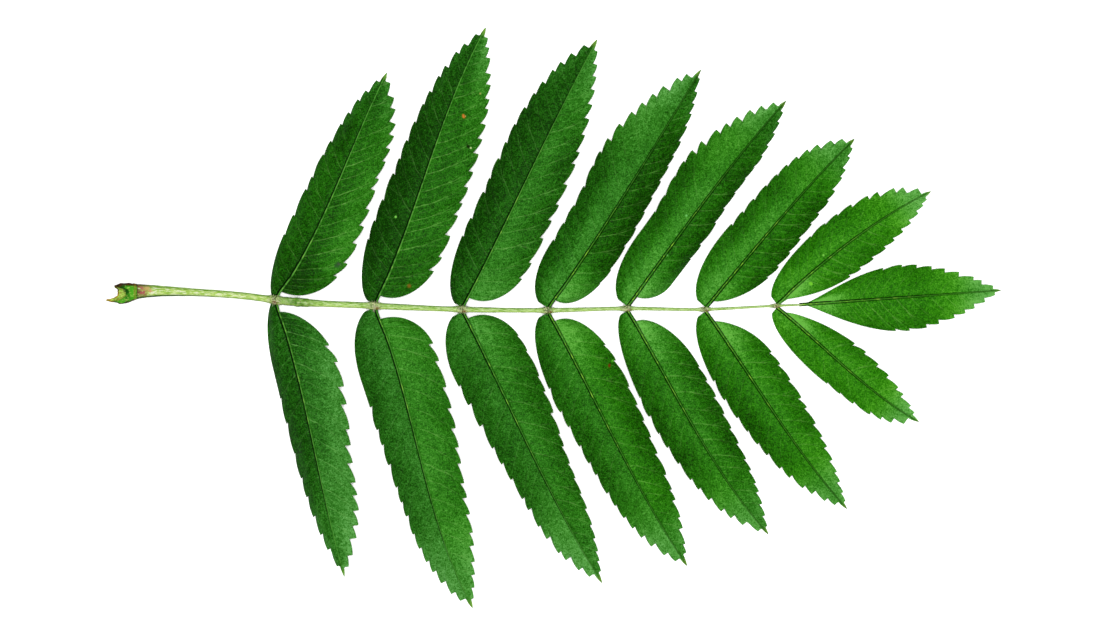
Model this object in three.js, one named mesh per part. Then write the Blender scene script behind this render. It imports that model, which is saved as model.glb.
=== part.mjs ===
// A cut rowan leaf, lying with its upper side up: a swollen foot torn from the twig,
// a stalk, and a stem that carries pairs of toothed leaflets and one leaflet at its end.
// Millimetres, +Z up. +X runs from the torn foot to the end leaflet; "left" is +Y.
// On every leaflet the fore half faces the leaf's tip and the hind half faces its foot.

import * as THREE from 'three';

// ---- driving sizes ----

const stalkLength = 36;                                   // torn face to the first pair
const stalkSway = [[-stalkLength, 1.7], [-28, 2], [-18, 1.7], [-6, 0.8]];   // x and sway
const pairSteps = [22.2, 19.5, 19.1, 17.7, 17.5, 15.9];   // from each pair to the next
const pairSway = [0, -1.3, -2.1, -2.3, -1.9, -2.1, -1.3]; // sideways wander of the stem
const endStep = 4.9;                                      // last pair to the end leaflet
const endSway = -1.1;

const stemAtFirstPair = 0.76;                             // radii of the stem
const stemAtEnd = 0.22;
const stemAtFoot = 2.35;
const footFlare = 3.8;                                    // how late the stalk swells
const stemLift = 1.6;                                     // arch of the stem above the ground
const archFullness = 0.8;                                 // under 1 is flatter than a sine

const jointLength = 2.2;                                  // swelling where a pair sits
const jointShrink = 0.06;                                 // what each joint loses of it, by pairs
const jointSwell = { side: 0.35, up: 0.15 };
const seatGap = 0.2;                                      // between neighbouring solids
const stemGap = 0.3;                                      // between a blade's edge and the stem

const bladeThickness = 0.35;
const footHalfWidth = 0.4;                                // a blade's narrow foot
const foreStart = 0.045;                                  // where each half begins, as a
const hindStart = 0;                                      // share of the leaflet's length
const roundBase = 0.5;                                    // 1 makes a wedge-shaped base
const bellyPlace = 0.62;                                  // share of the length where it swells
const bellySpread = 0.18;
const toothLean = 0.05;                                   // how far a tooth hangs over its notch
const toothCrowding = 0.4;                                // teeth grow closer towards the tip
const toothWobble = 0.66;                                 // unevenness of their spacing
const calmerTip = 0.67;                                   // what that loses towards the tip
const biteWobble = 0.5;                                   // unevenness of their depth
const toothBulge = 0.045;                                 // of a tooth's back, by its length
const bulgeWobble = 0.8;                                  // and its unevenness
const backFullness = 1.35;                                // how full a tooth's back is
const tipBite = 1.6;                                      // bites shrink where a half is narrow
const leastNotch = 0.3;                                   // of the width at the tooth's tip
const cutShare = 0.6;                                     // of the narrowing, taken by the cuts
const lateFrom = 0.52;                                    // where a late bite begins to show
const lateTo = 0.66;                                      // and where it is full
const edgeCurl = 2.2;                                     // power of the edge's downward curl
const leastCurlWidth = 0.2;                               // of a half's width, for that curl
const furthestCurl = 1.1;                                 // it grows no more beyond this
const nearTip = 0.97;

// Length and lean are those of the straight line from the stem to the leaflet's tip, and
// bow moves the midrib off that line towards the fore side. rise is the arch over the ground.
// Of each half: width; round, the share of the length in which the base rounds out; full, how
// late it tapers; its teeth, the share where they begin, their bite, also towards the tip where
// it differs; drop, the edge's fall; wedge, how far its base is a wedge and no round lobe;
// swell, a belly beyond the middle. start is the share where a half begins, where it is its own.
const leftRow = [
  { length: 56.7, lean: 64, bow: [3.6, 0], rise: 3.2,
    fore: { start: 0.04, width: 11.2, round: 0.3, full: 5.6, teeth: 14, first: 0.19, bite: 0.95,
            drop: 1.6, swell: -1.5 },
    hind: { width: 4.9, round: 0.3, full: 7, teeth: 11, first: 0.25, bite: 0.4,
            drop: 3.4, wedge: 0.62 } },
  { length: 67.2, lean: 68.3, bow: [1.9, -2.6], rise: 3.4,
    fore: { start: 0.038, width: 10.1, round: 0.26, full: 4.6, teeth: 17, first: 0.18, bite: 1,
            drop: 1.4 },
    hind: { width: 7.2, round: 0.28, full: 7.3, teeth: 14, first: 0.2, bite: 0.5, drop: 2.8 } },
  { length: 67.7, lean: 63.4, bow: [0.6, -0.6], rise: 3.5,
    fore: { width: 9.4, round: 0.24, full: 4.1, teeth: 15, first: 0.18, bite: 0.85, drop: 1.6 },
    hind: { width: 7.4, round: 0.27, full: 9, teeth: 14, first: 0.22, bite: 0.55,
            drop: 2.8, swell: 0.8 } },
  { length: 64.1, lean: 57.4, bow: [1.2, 0.5], rise: 3.8,
    fore: { width: 7.2, round: 0.25, full: 4.4, teeth: 15, first: 0.18, bite: 0.3,
            drop: 3.2, swell: -0.6 },
    hind: { width: 7.4, round: 0.21, full: 8.8, teeth: 14, first: 0.22, bite: 0.4, lateBite: 1.25,
            drop: 2, wedge: 0.45, swell: 2.1 } },
  { length: 58.8, lean: 52.4, bow: [-0.6, -1.6], rise: 3.8,
    fore: { start: 0.06, width: 4.8, round: 0.18, full: 6, teeth: 12, first: 0.3, bite: 0.25,
            drop: 3.4, wedge: 0.7, swell: -1 },
    hind: { width: 8, round: 0.27, full: 8.3, teeth: 12, first: 0.36, bite: 0.3, lateBite: 1.25,
            drop: 1.8, wedge: 0.45, swell: 2.2 } },
  { length: 51, lean: 48.6, bow: [-0.6, -1.4], rise: 3.2,
    fore: { start: 0.055, width: 6.3, round: 0.36, full: 5.1, teeth: 12, first: 0.29, bite: 0.45,
            drop: 2.2, wedge: 0.8, swell: -0.5 },
    hind: { width: 8.2, round: 0.35, full: 8, teeth: 11, first: 0.36, bite: 0.5,
            drop: 1.8, wedge: 0.47 } },
  { length: 43.4, lean: 36.3, bow: [-2, -2.6], rise: 2.6,
    fore: { start: 0.07, width: 4.8, round: 0.46, full: 5, teeth: 10, first: 0.4, bite: 0.7,
            drop: 1.4, wedge: 1 },
    hind: { width: 8.7, round: 0.66, full: 6.5, teeth: 9, first: 0.36, bite: 0.4, lateBite: 0.8,
            drop: 1.4, wedge: 0.47 } },
];
const rightRow = [
  { length: 64, lean: 76.1, bow: [2.4, -0.4], rise: 3.6,
    fore: { width: 10.6, round: 0.32, full: 4.8, teeth: 14, first: 0.2, bite: 1.1,
            drop: 1.6, wedge: 0.65, swell: -1.5 },
    hind: { width: 4.3, round: 0.24, full: 6.6, teeth: 9, first: 0.34, bite: 0.3,
            drop: 3.8, wedge: 0.62 } },
  { length: 71.3, lean: 72.1, bow: [2.4, -4], rise: 3.8,
    fore: { width: 10.1, round: 0.2, full: 3.2, teeth: 16, first: 0.17, bite: 0.85,
            drop: 1.6, swell: -1.2 },
    hind: { width: 8, round: 0.21, full: 9, teeth: 14, first: 0.3, bite: 0.55, drop: 2.4 } },
  { length: 69, lean: 62.9, bow: [0.2, -1.8], rise: 3.8,
    fore: { start: 0.035, width: 8.9, round: 0.2, full: 3.2, teeth: 16, first: 0.16, bite: 0.3,
            drop: 2.8, swell: -1.6 },
    hind: { width: 8.5, round: 0.21, full: 6.8, teeth: 14, first: 0.22, bite: 0.7,
            drop: 2.4, swell: -0.8 } },
  { length: 65.4, lean: 61.3, bow: [0.2, -2], rise: 3.6,
    fore: { width: 8.2, round: 0.28, full: 3.9, teeth: 14, first: 0.2, bite: 0.4,
            drop: 2.6, swell: -0.8 },
    hind: { width: 8.4, round: 0.35, full: 7.2, teeth: 14, first: 0.24, bite: 0.5,
            drop: 2.4, wedge: 0.46 } },
  { length: 59.9, lean: 57.8, bow: [-0.4, -3.4], rise: 3.4,
    fore: { start: 0.06, width: 7.1, round: 0.32, full: 3.8, teeth: 13, first: 0.33, bite: 0.4,
            drop: 2.4, wedge: 0.6, swell: -0.6 },
    hind: { width: 9.1, round: 0.6, full: 6.3, teeth: 12, first: 0.31, bite: 0.5, drop: 2.2 } },
  { length: 55.1, lean: 54.4, bow: [-0.2, -2.2], rise: 3,
    fore: { start: 0.065, width: 6.8, round: 0.32, full: 3.6, teeth: 13, first: 0.3, bite: 0.65,
            drop: 2, wedge: 0.85 },
    hind: { width: 8.4, round: 0.44, full: 5.4, teeth: 12, first: 0.26, bite: 0.5, drop: 1.8 } },
  { length: 41.5, lean: 38.9, bow: [-0.2, -2.4], rise: 2.6,
    fore: { start: 0.07, width: 5, round: 0.6, full: 4.3, teeth: 8, first: 0.46, bite: 0.7,
            drop: 1.4, wedge: 0.85 },
    hind: { width: 6.4, round: 0.5, full: 8.4, teeth: 7, first: 0.48, bite: 0.45, drop: 1.4 } },
];
const endLeaflet = { length: 45.9, lean: 4.1, bow: [0, 0], rise: 2.4, start: 0.05,
  fore: { width: 8.1, round: 0.6, full: 4, teeth: 9, first: 0.47, bite: 0.6,
          drop: 1.4, wedge: 1.15, swell: 0.3 },
  hind: { width: 8.1, round: 0.62, full: 4, teeth: 9, first: 0.43, bite: 0.55, drop: 1.4, wedge: 1.2 } };

// How finely the pieces are cut into facets, and where a blade's curl bends.
const stemSides = 10;
const baseSteps = 6;                                      // along the toothless base of a half
const baseCrowding = 1.8;                                 // they are closer where it rounds out
const baseColumn = 0.3;                                   // where the column starts in the base
const ribSteps = 12;                                      // along the midrib
const columnShare = 0.5;                                  // of the way from midrib to edge
const veinLag = 0.5;                                      // how far veins lean forward
const aWhisker = 0.001;                                   // keeps neighbours in order
const restShare = 0.3;                                    // beyond this share a blade may touch down

// ---- materials ----

const bladeGreen = 0x1f6b22;
const stemGreen = 0xa9c46c;
const jointBrown = 0x9a8f72;
const footYellow = 0x8fae3c;

const finish = (color, roughness) => new THREE.MeshStandardMaterial({ color, roughness, metalness: 0 });

// ---- helpers ----

const toRadians = THREE.MathUtils.degToRad;

// A small repeatable random source, so that every build is the same.
function randomFrom(seed) {
  const modulus = 2147483647;
  const factor = 16807;
  let state = seed;
  return () => {
    state = (state * factor) % modulus;
    return state / modulus;
  };
}

// A closed solid from vertices, triangles and nothing else.
function solid(name, points, triangles, material) {
  const geometry = new THREE.BufferGeometry();
  const positions = points.flatMap((point) => [point.x, point.y, point.z]);
  geometry.setAttribute('position', new THREE.Float32BufferAttribute(positions, 3));
  geometry.setIndex(triangles);
  geometry.computeVertexNormals();
  const mesh = new THREE.Mesh(geometry, material);
  mesh.name = name;
  return mesh;
}

// Joins rings of points, all with the same count, into a closed skin with a cap at each end.
function loft(name, rings, material) {
  const count = rings[0].length;
  const points = rings.flat();
  const triangles = [];
  for (let row = 0; row + 1 < rings.length; row += 1) {
    for (let k = 0; k < count; k += 1) {
      const a = row * count + k;
      const b = row * count + ((k + 1) % count);
      triangles.push(a, b, a + count, b, b + count, a + count);
    }
  }
  const capWith = (ring, first, flipped) => {
    const middle = new THREE.Vector3();
    ring.forEach((point) => middle.addScaledVector(point, 1 / count));
    points.push(middle);
    for (let k = 0; k < count; k += 1) {
      const edge = [first + k, first + ((k + 1) % count)];
      triangles.push(points.length - 1, ...(flipped ? edge.reverse() : edge));
    }
  };
  capWith(rings[0], 0, true);
  capWith(rings.at(-1), (rings.length - 1) * count, false);
  return solid(name, points, triangles, material);
}

// An oval ring across the X axis, side by up in half-size, counted so that loft faces outward.
function ovalRing(centre, side, up, sides) {
  return Array.from({ length: sides }, (_, k) => {
    const turn = (2 * Math.PI * k) / sides;
    return new THREE.Vector3(centre.x, centre.y + side * Math.cos(turn), centre.z + up * Math.sin(turn));
  });
}

// ---- the stem's path ----

const pairX = pairSteps.reduce((places, step) => [...places, places.at(-1) + step], [0]);
const endX = pairX.at(-1) + endStep;

function stemRadius(x) {
  if (x < 0) {
    return stemAtFirstPair + (stemAtFoot - stemAtFirstPair) * (-x / stalkLength) ** footFlare;
  }
  return stemAtEnd + (stemAtFirstPair - stemAtEnd) * (1 - Math.min(x / endX, 1));
}

// The stem touches the ground at its torn foot and at its end, and arches between them.
function stemHeight(x) {
  const share = (x + stalkLength) / (endX + stalkLength);
  return stemRadius(x) + stemLift * Math.sin(Math.PI * share) ** archFullness;
}

const stemPlaces = [
  ...stalkSway,
  ...pairX.map((x, k) => [x, pairSway[k]]),
  [endX, endSway],
].map(([x, y]) => new THREE.Vector3(x, y, stemHeight(x)));
const stemPath = new THREE.CatmullRomCurve3(stemPlaces, false, 'centripetal');
const firstPairPlace = stalkSway.length;                  // its place in stemPlaces

// The path's point at a given x, found by halving, because x only grows along it.
function stemPoint(x) {
  const halvings = 30;
  let [low, high] = [0, 1];
  for (let k = 0; k < halvings; k += 1) {
    const middle = (low + high) / 2;
    if (stemPath.getPoint(middle).x < x) low = middle;
    else high = middle;
  }
  return stemPath.getPoint((low + high) / 2);
}

function stemPiece(name, fromX, toX, steps) {
  const rings = Array.from({ length: steps + 1 }, (_, k) => {
    const x = fromX + ((toX - fromX) * k) / steps;
    const radius = stemRadius(x);
    return ovalRing(stemPoint(x), radius, radius, stemSides);
  });
  return loft(name, rings, finish(stemGreen, 0.5));
}

// ---- the joints, the stem between them and the torn foot ----

const jointSide = (pair) => stemRadius(pairX[pair]) + jointSwell.side;
const jointHalf = (pair) => (jointLength / 2) * (1 - jointShrink * pair);

function stemJoint(pair) {
  const steps = 6;
  const half = jointHalf(pair);
  const rings = Array.from({ length: steps + 1 }, (_, k) => {
    const along = -1 + (2 * k) / steps;
    const x = pairX[pair] + half * along;
    const radius = stemRadius(x);
    const swell = Math.cos((along * Math.PI) / 2);
    const side = radius + jointSwell.side * swell;
    const up = radius + jointSwell.up * swell;
    return ovalRing(stemPoint(x), side, up, stemSides);
  });
  return loft(`stem_joint_${pair + 1}`, rings, finish(jointBrown, 0.8));
}

// The torn foot: a swelling that ends in a hollow face, with a shred of skin left on its rim.
const footNeck = -30.6;
const footRings = [
  // x, sway, half-width, half-height
  [-33.5, 1.5, 0.7, 0.45],
  [-34.4, 1.45, 1.3, 0.9],
  [-35.6, 1.45, 1.7, 1.1],
  [-35.9, 1.45, 2.0, 1.36],
  [-35, 1.38, 2.24, 1.42],
  [-34, 1.47, 2.3, 1.48],
  [-33.2, 1.58, 2.2, 1.5],
  [-32.2, 1.74, 2.0, 1.49],
  [-31.3, 1.87, 1.77, 1.42],
  [footNeck, 1.9, 1.62, 1.36],
];
const footRimRing = 3;
const shred = { reach: 2.1, turn: 207, spread: 25 };      // its direction round the rim, degrees

function tornFoot() {
  const sides = 18;
  const middleHeight = Math.max(...footRings.map(([, , , up]) => up));
  const rings = footRings.map(([x, sway, side, up]) => (
    ovalRing(new THREE.Vector3(x, sway, middleHeight), side, up, sides)
  ));
  rings[footRimRing].forEach((point, k) => {
    const away = (360 * k) / sides - shred.turn;
    point.x -= shred.reach * Math.exp(-((away / shred.spread) ** 2));
  });
  return loft('torn_foot', rings, finish(footYellow, 0.6));
}

// ---- leaflets ----

// Half-width of a half's smooth outline, the line through the tips of its teeth.
function halfWidth({ width, round, full, start, wedge = roundBase, swell = 0 }, t) {
  const across = THREE.MathUtils.clamp((t - start) / (round - start), 0, 1);
  const base = (1 - (1 - across) ** 2) ** wedge;
  const belly = swell * Math.exp(-(((t - bellyPlace) / bellySpread) ** 2));
  return footHalfWidth * (1 - across) + (width * base + belly) * (1 - t ** full);
}

// The outline of one half from the foot up, each point as { t, s, w, kind }: the share of the
// length it belongs to, the distance along the leaflet and the distance out from its line.
function halfOutline(half, length, random) {
  const outline = [];
  for (let k = 1; k < baseSteps; k += 1) {
    const t = half.start + (half.first - half.start) * (k / baseSteps) ** baseCrowding;
    const kind = k === baseSteps - 1 ? 'end of base' : 'base';
    outline.push({ kind, t, s: t * length, w: halfWidth(half, t) });
  }
  const tipAt = (k) => {
    const share = k / half.teeth;
    return half.first + (1 - half.first) * share * (1 + toothCrowding * (1 - share));
  };
  const spacing = (1 - half.first) / half.teeth;
  const tips = Array.from({ length: half.teeth }, (_, k) => {
    const t = tipAt(k);
    const wobble = k === 0 ? 0 : (random() - 0.5) * toothWobble * spacing * (1 - calmerTip * t);
    return t + wobble;
  });
  tips.forEach((t, k) => {
    const next = tips[k + 1] ?? 1;
    const tipWidth = halfWidth(half, t);
    const nextWidth = halfWidth(half, next);
    const late = THREE.MathUtils.smoothstep(t, lateFrom, lateTo);
    const evenBite = THREE.MathUtils.lerp(half.bite, half.lateBite ?? half.bite, late);
    const depth = 1 + biteWobble * (random() - 0.5);
    const bite = evenBite * depth * Math.min(1, (tipBite * tipWidth) / half.width);
    const taper = Math.max(tipWidth - nextWidth, 0);
    const cut = Math.max(bite, cutShare * (bite + taper));
    const notchWidth = Math.max(tipWidth - cut, leastNotch * tipWidth);
    const shoulder = (t + next) / 2;
    const fill = nextWidth > notchWidth ? 1 - 0.5 ** backFullness : 0.5 ** backFullness;
    const bulge = toothBulge * (next - t) * length * (1 + bulgeWobble * (random() - 0.5));
    const shoulderWidth = THREE.MathUtils.lerp(notchWidth, nextWidth, fill) + bulge;
    const notchS = (t - toothLean * spacing) * length;
    outline.push({ kind: 'tip', t, s: t * length, w: tipWidth });
    outline.push({ kind: 'notch', t: t + aWhisker, s: notchS, w: notchWidth });
    outline.push({ kind: 'shoulder', t: shoulder, s: shoulder * length, w: shoulderWidth });
  });
  return outline;
}

function makeLeaflet(name, spec, joint, row, reach, seed) {
  const random = randomFrom(seed);
  const lean = toRadians(spec.lean);
  const along = new THREE.Vector2(Math.cos(lean), row * Math.sin(lean));
  const toFore = new THREE.Vector2(Math.sin(lean), -row * Math.cos(lean));
  const { length } = spec;
  const onStem = name !== 'leaflet_end';

  // How far up the leaflet a point w out to the fore side of its line is clear of the stem.
  const clearOfStem = (w) => (stemRadius(joint.x) + stemGap + w * Math.cos(lean)) / Math.sin(lean);
  const seat = onStem ? Math.max(reach + seatGap, clearOfStem(footHalfWidth)) : seatGap;
  const halves = [
    { start: spec.start ?? foreStart, ...spec.fore, sign: 1 },
    { start: spec.start ?? hindStart, ...spec.hind, sign: -1 },
  ];
  const neckShare = halves[0].start;

  // The midrib's offset is a cubic curve with two handles, and its arch is a parabola.
  const midribOffset = (t) => 3 * t * (1 - t) * (spec.bow[0] * (1 - t) + spec.bow[1] * t);
  const midribHeight = (t) => (
    THREE.MathUtils.lerp(joint.z, bladeThickness, t) + spec.rise * 4 * t * (1 - t)
  );

  // The edge curls down most where the half is widest.
  const edgeDrop = (half, t, w) => {
    const wide = halfWidth(half, Math.min(t, nearTip));
    const out = Math.abs(w - midribOffset(t)) / Math.max(wide, leastCurlWidth * half.width);
    return half.drop * (wide / half.width) * Math.min(out, furthestCurl) ** edgeCurl;
  };

  // Vertices as plan points with a height. Lines of them are lists of their places in plan.
  const plan = [];
  const add = (t, s, w, drop, rib = s / length) => {
    const height = midribHeight(THREE.MathUtils.clamp(s / length, 0, 1));
    plan.push({ t, rib, s, w, z: height - drop });
    return plan.length - 1;
  };
  const addRib = (t) => add(t, t * length, midribOffset(t), 0);

  const foot = addRib(seat / length);
  const neck = addRib(neckShare + aWhisker);
  const ribs = Array.from({ length: ribSteps - 1 }, (_, k) => addRib((k + 1) / ribSteps));
  const apex = add(1, length, 0, 0);
  const midrib = [foot, neck, ...ribs, apex];

  // Each half has an edge and, halfway to it, a column with one vertex behind each tooth.
  const sides = halves.map((half) => {
    const seatT = seat / length;
    const footCorner = add(seatT, seat, midribOffset(seatT) + half.sign * footHalfWidth, 0);
    const edge = [footCorner];
    const column = [foot];
    const addColumn = (t, s, edgeWidth, rib) => {
      const middle = midribOffset(s / length);
      const w = middle + columnShare * (half.sign * edgeWidth - middle);
      column.push(add(t, s, w, edgeDrop(half, s / length, w), rib));
    };
    if (half.start > 0) {
      const neckSide = midribOffset(neckShare) + half.sign * footHalfWidth;
      edge.push(add(neckShare, neckShare * length, neckSide, 0));
      column.push(neck);
    }
    const firstShare = THREE.MathUtils.lerp(half.start, half.first, baseColumn);
    const firstOrder = Math.max(half.start, seat / length) + 2 * aWhisker;
    addColumn(firstOrder, firstShare * length, halfWidth(half, firstShare), firstOrder);
    halfOutline(half, length, random).forEach(({ kind, t, s, w }, k) => {
      const clearS = onStem ? Math.max(s, clearOfStem(half.sign * w)) : s;
      const order = Math.max(t, seat / length + (3 + k) * aWhisker);
      edge.push(add(order, clearS, half.sign * w, edgeDrop(half, t, half.sign * w)));
      if (kind === 'notch' || kind === 'end of base') {
        addColumn(order + aWhisker / 2, s - veinLag * (1 - columnShare) * w, w);
      }
    });
    return { edge: [...edge, apex], column: [...column, apex] };
  });

  // Fills the strip between two lines, always stepping along the one that lags behind.
  const top = [];
  const fill = (inner, outer, key) => {
    let [i, j] = [0, 0];
    while (i + 1 < inner.length || j + 1 < outer.length) {
      const stepInner = j + 1 === outer.length
        || (i + 1 < inner.length && plan[inner[i + 1]][key] <= plan[outer[j + 1]][key]);
      const next = stepInner ? inner[i + 1] : outer[j + 1];
      const corners = [inner[i], outer[j], next];
      if (new Set(corners).size === 3) top.push(corners);
      if (stepInner) i += 1;
      else j += 1;
    }
  };
  sides.forEach(({ edge, column }) => {
    fill(midrib, column, 'rib');
    fill(column, edge, 't');
  });

  // The blade settles until its outer part meets the ground, which its base then rests on too.
  const slack = Math.min(...plan.filter(({ t }) => t > restShare)
    .map(({ t, z }) => (z - bladeThickness) / t));
  const upper = plan.map(({ t, s, w, z }) => {
    const place = new THREE.Vector2(joint.x, joint.y);
    place.addScaledVector(along, s).addScaledVector(toFore, w);
    return new THREE.Vector3(place.x, place.y, Math.max(z - slack * t, bladeThickness));
  });
  const lower = upper.map(({ x, y, z }) => new THREE.Vector3(x, y, z - bladeThickness));

  const turnOf = (a, b, c) => (upper[b].x - upper[a].x) * (upper[c].y - upper[a].y)
    - (upper[b].y - upper[a].y) * (upper[c].x - upper[a].x);
  const count = plan.length;
  const triangles = [];
  top.forEach(([a, b, c]) => {
    const [p, q] = turnOf(a, b, c) > 0 ? [b, c] : [c, b];
    triangles.push(a, p, q, a + count, q + count, p + count);
  });
  const rim = [foot, ...sides[0].edge, ...sides[1].edge.slice(0, -1).reverse()];
  if (row < 0) rim.reverse();
  rim.forEach((a, k) => {
    const b = rim[(k + 1) % rim.length];
    triangles.push(b, a, a + count, b, a + count, b + count);
  });
  return solid(name, [...upper, ...lower], triangles, finish(bladeGreen, 0.45));
}

// How far a joint's swelling reaches towards a leaflet that leans by so much.
function jointReach(pair, leanDegrees) {
  const lean = toRadians(leanDegrees);
  return 1 / Math.hypot(Math.cos(lean) / jointHalf(pair), Math.sin(lean) / jointSide(pair));
}

// ---- assembly ----

const endSeed = 900;
const leaf = new THREE.Group();
leaf.add(tornFoot());
leaf.add(stemPiece('stalk', footNeck + seatGap, -jointHalf(0) - seatGap, 10));
pairX.forEach((x, pair) => {
  leaf.add(stemJoint(pair));
  if (pair > 0) {
    const from = pairX[pair - 1] + jointHalf(pair - 1) + seatGap;
    leaf.add(stemPiece(`stem_${pair}`, from, x - jointHalf(pair) - seatGap, 4));
  }
});
leaf.add(stemPiece('end_stalk', pairX.at(-1) + jointHalf(pairX.length - 1) + seatGap, endX, 2));

[['left', 1, leftRow], ['right', -1, rightRow]].forEach(([side, row, specs]) => {
  specs.forEach((spec, pair) => {
    const joint = stemPlaces[firstPairPlace + pair];
    const seed = 100 * (pair + 1) + (row > 0 ? 1 : 2);    // its own teeth for each leaflet
    const reach = jointReach(pair, spec.lean);
    leaf.add(makeLeaflet(`leaflet_${side}_${pair + 1}`, spec, joint, row, reach, seed));
  });
});
leaf.add(makeLeaflet('leaflet_end', endLeaflet, stemPlaces.at(-1), 1, 0, endSeed));

// The frame's origin: the middle of the leaf's box, at the ground.
const box = new THREE.Box3().setFromObject(leaf);
const centre = box.getCenter(new THREE.Vector3());
leaf.position.set(-centre.x, -centre.y, -box.min.z);

export default leaf;
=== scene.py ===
import math

import bpy
import bmesh
import numpy as np
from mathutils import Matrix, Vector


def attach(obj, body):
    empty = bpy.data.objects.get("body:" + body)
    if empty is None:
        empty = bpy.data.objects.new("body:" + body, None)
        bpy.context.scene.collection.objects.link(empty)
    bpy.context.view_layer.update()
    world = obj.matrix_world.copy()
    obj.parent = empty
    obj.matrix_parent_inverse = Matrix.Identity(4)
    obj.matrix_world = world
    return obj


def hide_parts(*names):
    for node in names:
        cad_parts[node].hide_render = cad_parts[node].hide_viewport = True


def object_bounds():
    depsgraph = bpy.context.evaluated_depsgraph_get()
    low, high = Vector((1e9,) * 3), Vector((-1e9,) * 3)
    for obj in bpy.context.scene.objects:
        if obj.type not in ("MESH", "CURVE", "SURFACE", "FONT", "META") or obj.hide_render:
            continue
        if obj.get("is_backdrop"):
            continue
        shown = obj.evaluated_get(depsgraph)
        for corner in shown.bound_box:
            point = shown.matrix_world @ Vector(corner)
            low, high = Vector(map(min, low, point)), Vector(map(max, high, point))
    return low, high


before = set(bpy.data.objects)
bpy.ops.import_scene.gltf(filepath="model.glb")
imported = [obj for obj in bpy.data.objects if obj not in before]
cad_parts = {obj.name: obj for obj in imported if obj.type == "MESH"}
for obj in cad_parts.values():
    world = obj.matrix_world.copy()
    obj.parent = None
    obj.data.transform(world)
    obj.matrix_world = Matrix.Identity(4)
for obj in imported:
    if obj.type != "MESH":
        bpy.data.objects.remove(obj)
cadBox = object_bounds()
mm = 0.001
lightLevel = 2  # how much brighter the light is than it takes for white
print("frame loaded:", len(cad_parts), "nodes")

# Plan sizes are in millimetres from the first pair of leaflets, +X to the tip and +Y to the left
# row, as in the solids. Meshes are turned into metres and moved to the frame when they are made.

leaf = {
    "firstPair": (-62.37, 4.005),  # where the first pair sits in the frame
    "stalkLength": 36,
    "stalkSway": [(-36, 1.7), (-28, 2.0), (-18, 1.7), (-6, 0.8)],  # x and y along the stalk
    "pairSteps": [22.2, 19.5, 19.1, 17.7, 17.5, 15.9],
    "pairSway": [0, -1.3, -2.1, -2.3, -1.9, -2.1, -1.3],
    "endStep": 4.9,
    "endSway": -1.1,
    "stemAtFirstPair": 0.76,  # radii
    "stemAtEnd": 0.22,
    "stemAtFoot": 2.35,
    "footFlare": 3.8,
    "stemLift": 1.6,
    "archFullness": 0.8,
}


def smooth(value, low, high):
    share = np.clip((value - low) / (high - low), 0, 1)
    return share * share * (3 - 2 * share)


def hump(value, middle, spread):
    return np.exp(-((value - middle) / spread) ** 2)


def randomFrom(seed):  # the same small random source as the solids use
    state = seed

    def draw():
        nonlocal state
        state = state * 16807 % 2147483647
        return state / 2147483647

    return draw


pairX = np.concatenate([[0], np.cumsum(leaf["pairSteps"])])
endX = pairX[-1] + leaf["endStep"]
pathX = np.array([*(x for x, y in leaf["stalkSway"]), *pairX, endX])
pathY = np.array([*(y for x, y in leaf["stalkSway"]), *leaf["pairSway"], leaf["endSway"]])
pathSlope = np.gradient(pathY, pathX)


def stemRadius(x):
    flare = np.clip(-x / leaf["stalkLength"], 0, None) ** leaf["footFlare"]
    onStalk = leaf["stemAtFirstPair"] + (leaf["stemAtFoot"] - leaf["stemAtFirstPair"]) * flare
    left = 1 - np.clip(x / endX, 0, 1)
    onStem = leaf["stemAtEnd"] + (leaf["stemAtFirstPair"] - leaf["stemAtEnd"]) * left
    return np.where(x < 0, onStalk, onStem)


def stemSway(x):  # a smooth curve through the path's points
    k = np.clip(np.searchsorted(pathX, x) - 1, 0, len(pathX) - 2)
    step = pathX[k + 1] - pathX[k]
    u = (x - pathX[k]) / step
    fromPoints = pathY[k] * (1 + 2 * u) * (1 - u) ** 2 + pathY[k + 1] * (3 - 2 * u) * u ** 2
    fromSlopes = pathSlope[k] * u * (1 - u) ** 2 - pathSlope[k + 1] * u ** 2 * (1 - u)
    return fromPoints + fromSlopes * step


def stemHeight(x):
    share = np.clip((x + leaf["stalkLength"]) / (endX + leaf["stalkLength"]), 0, 1)
    return stemRadius(x) + leaf["stemLift"] * np.sin(np.pi * share) ** leaf["archFullness"]


# meshes and materials in general

def joinRings(rings, sides):  # the faces between rings of points
    faces = []
    for ring in range(rings - 1):
        for k in range(sides):
            a, b = ring * sides + k, ring * sides + (k + 1) % sides
            faces.append((a, b, b + sides, a + sides))
    return faces


def addSpike(points, faces, rings, tip):  # a thin closed spike, through rings of points to its tip
    start, sides = len(points), len(rings[0])
    points += [*sum(rings, []), tip]
    faces += [tuple(start + k for k in face) for face in joinRings(len(rings), sides)]
    last = len(points) - 1
    faces += [(last - sides + k, last - sides + (k + 1) % sides, last) for k in range(sides)]
    faces.append(tuple(range(start + sides - 1, start - 1, -1)))


def circle(centre, first, second, radius, sides):  # points round a centre, in the plane of two directions
    turns = [2 * math.pi * k / sides for k in range(sides)]
    return [centre + radius * (first * math.cos(turn) + second * math.sin(turn)) for turn in turns]


def unit(way):
    return way / np.linalg.norm(way)


def addObject(name, data):
    made = bpy.data.objects.new(name, data)
    bpy.context.collection.objects.link(made)
    return made


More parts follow.
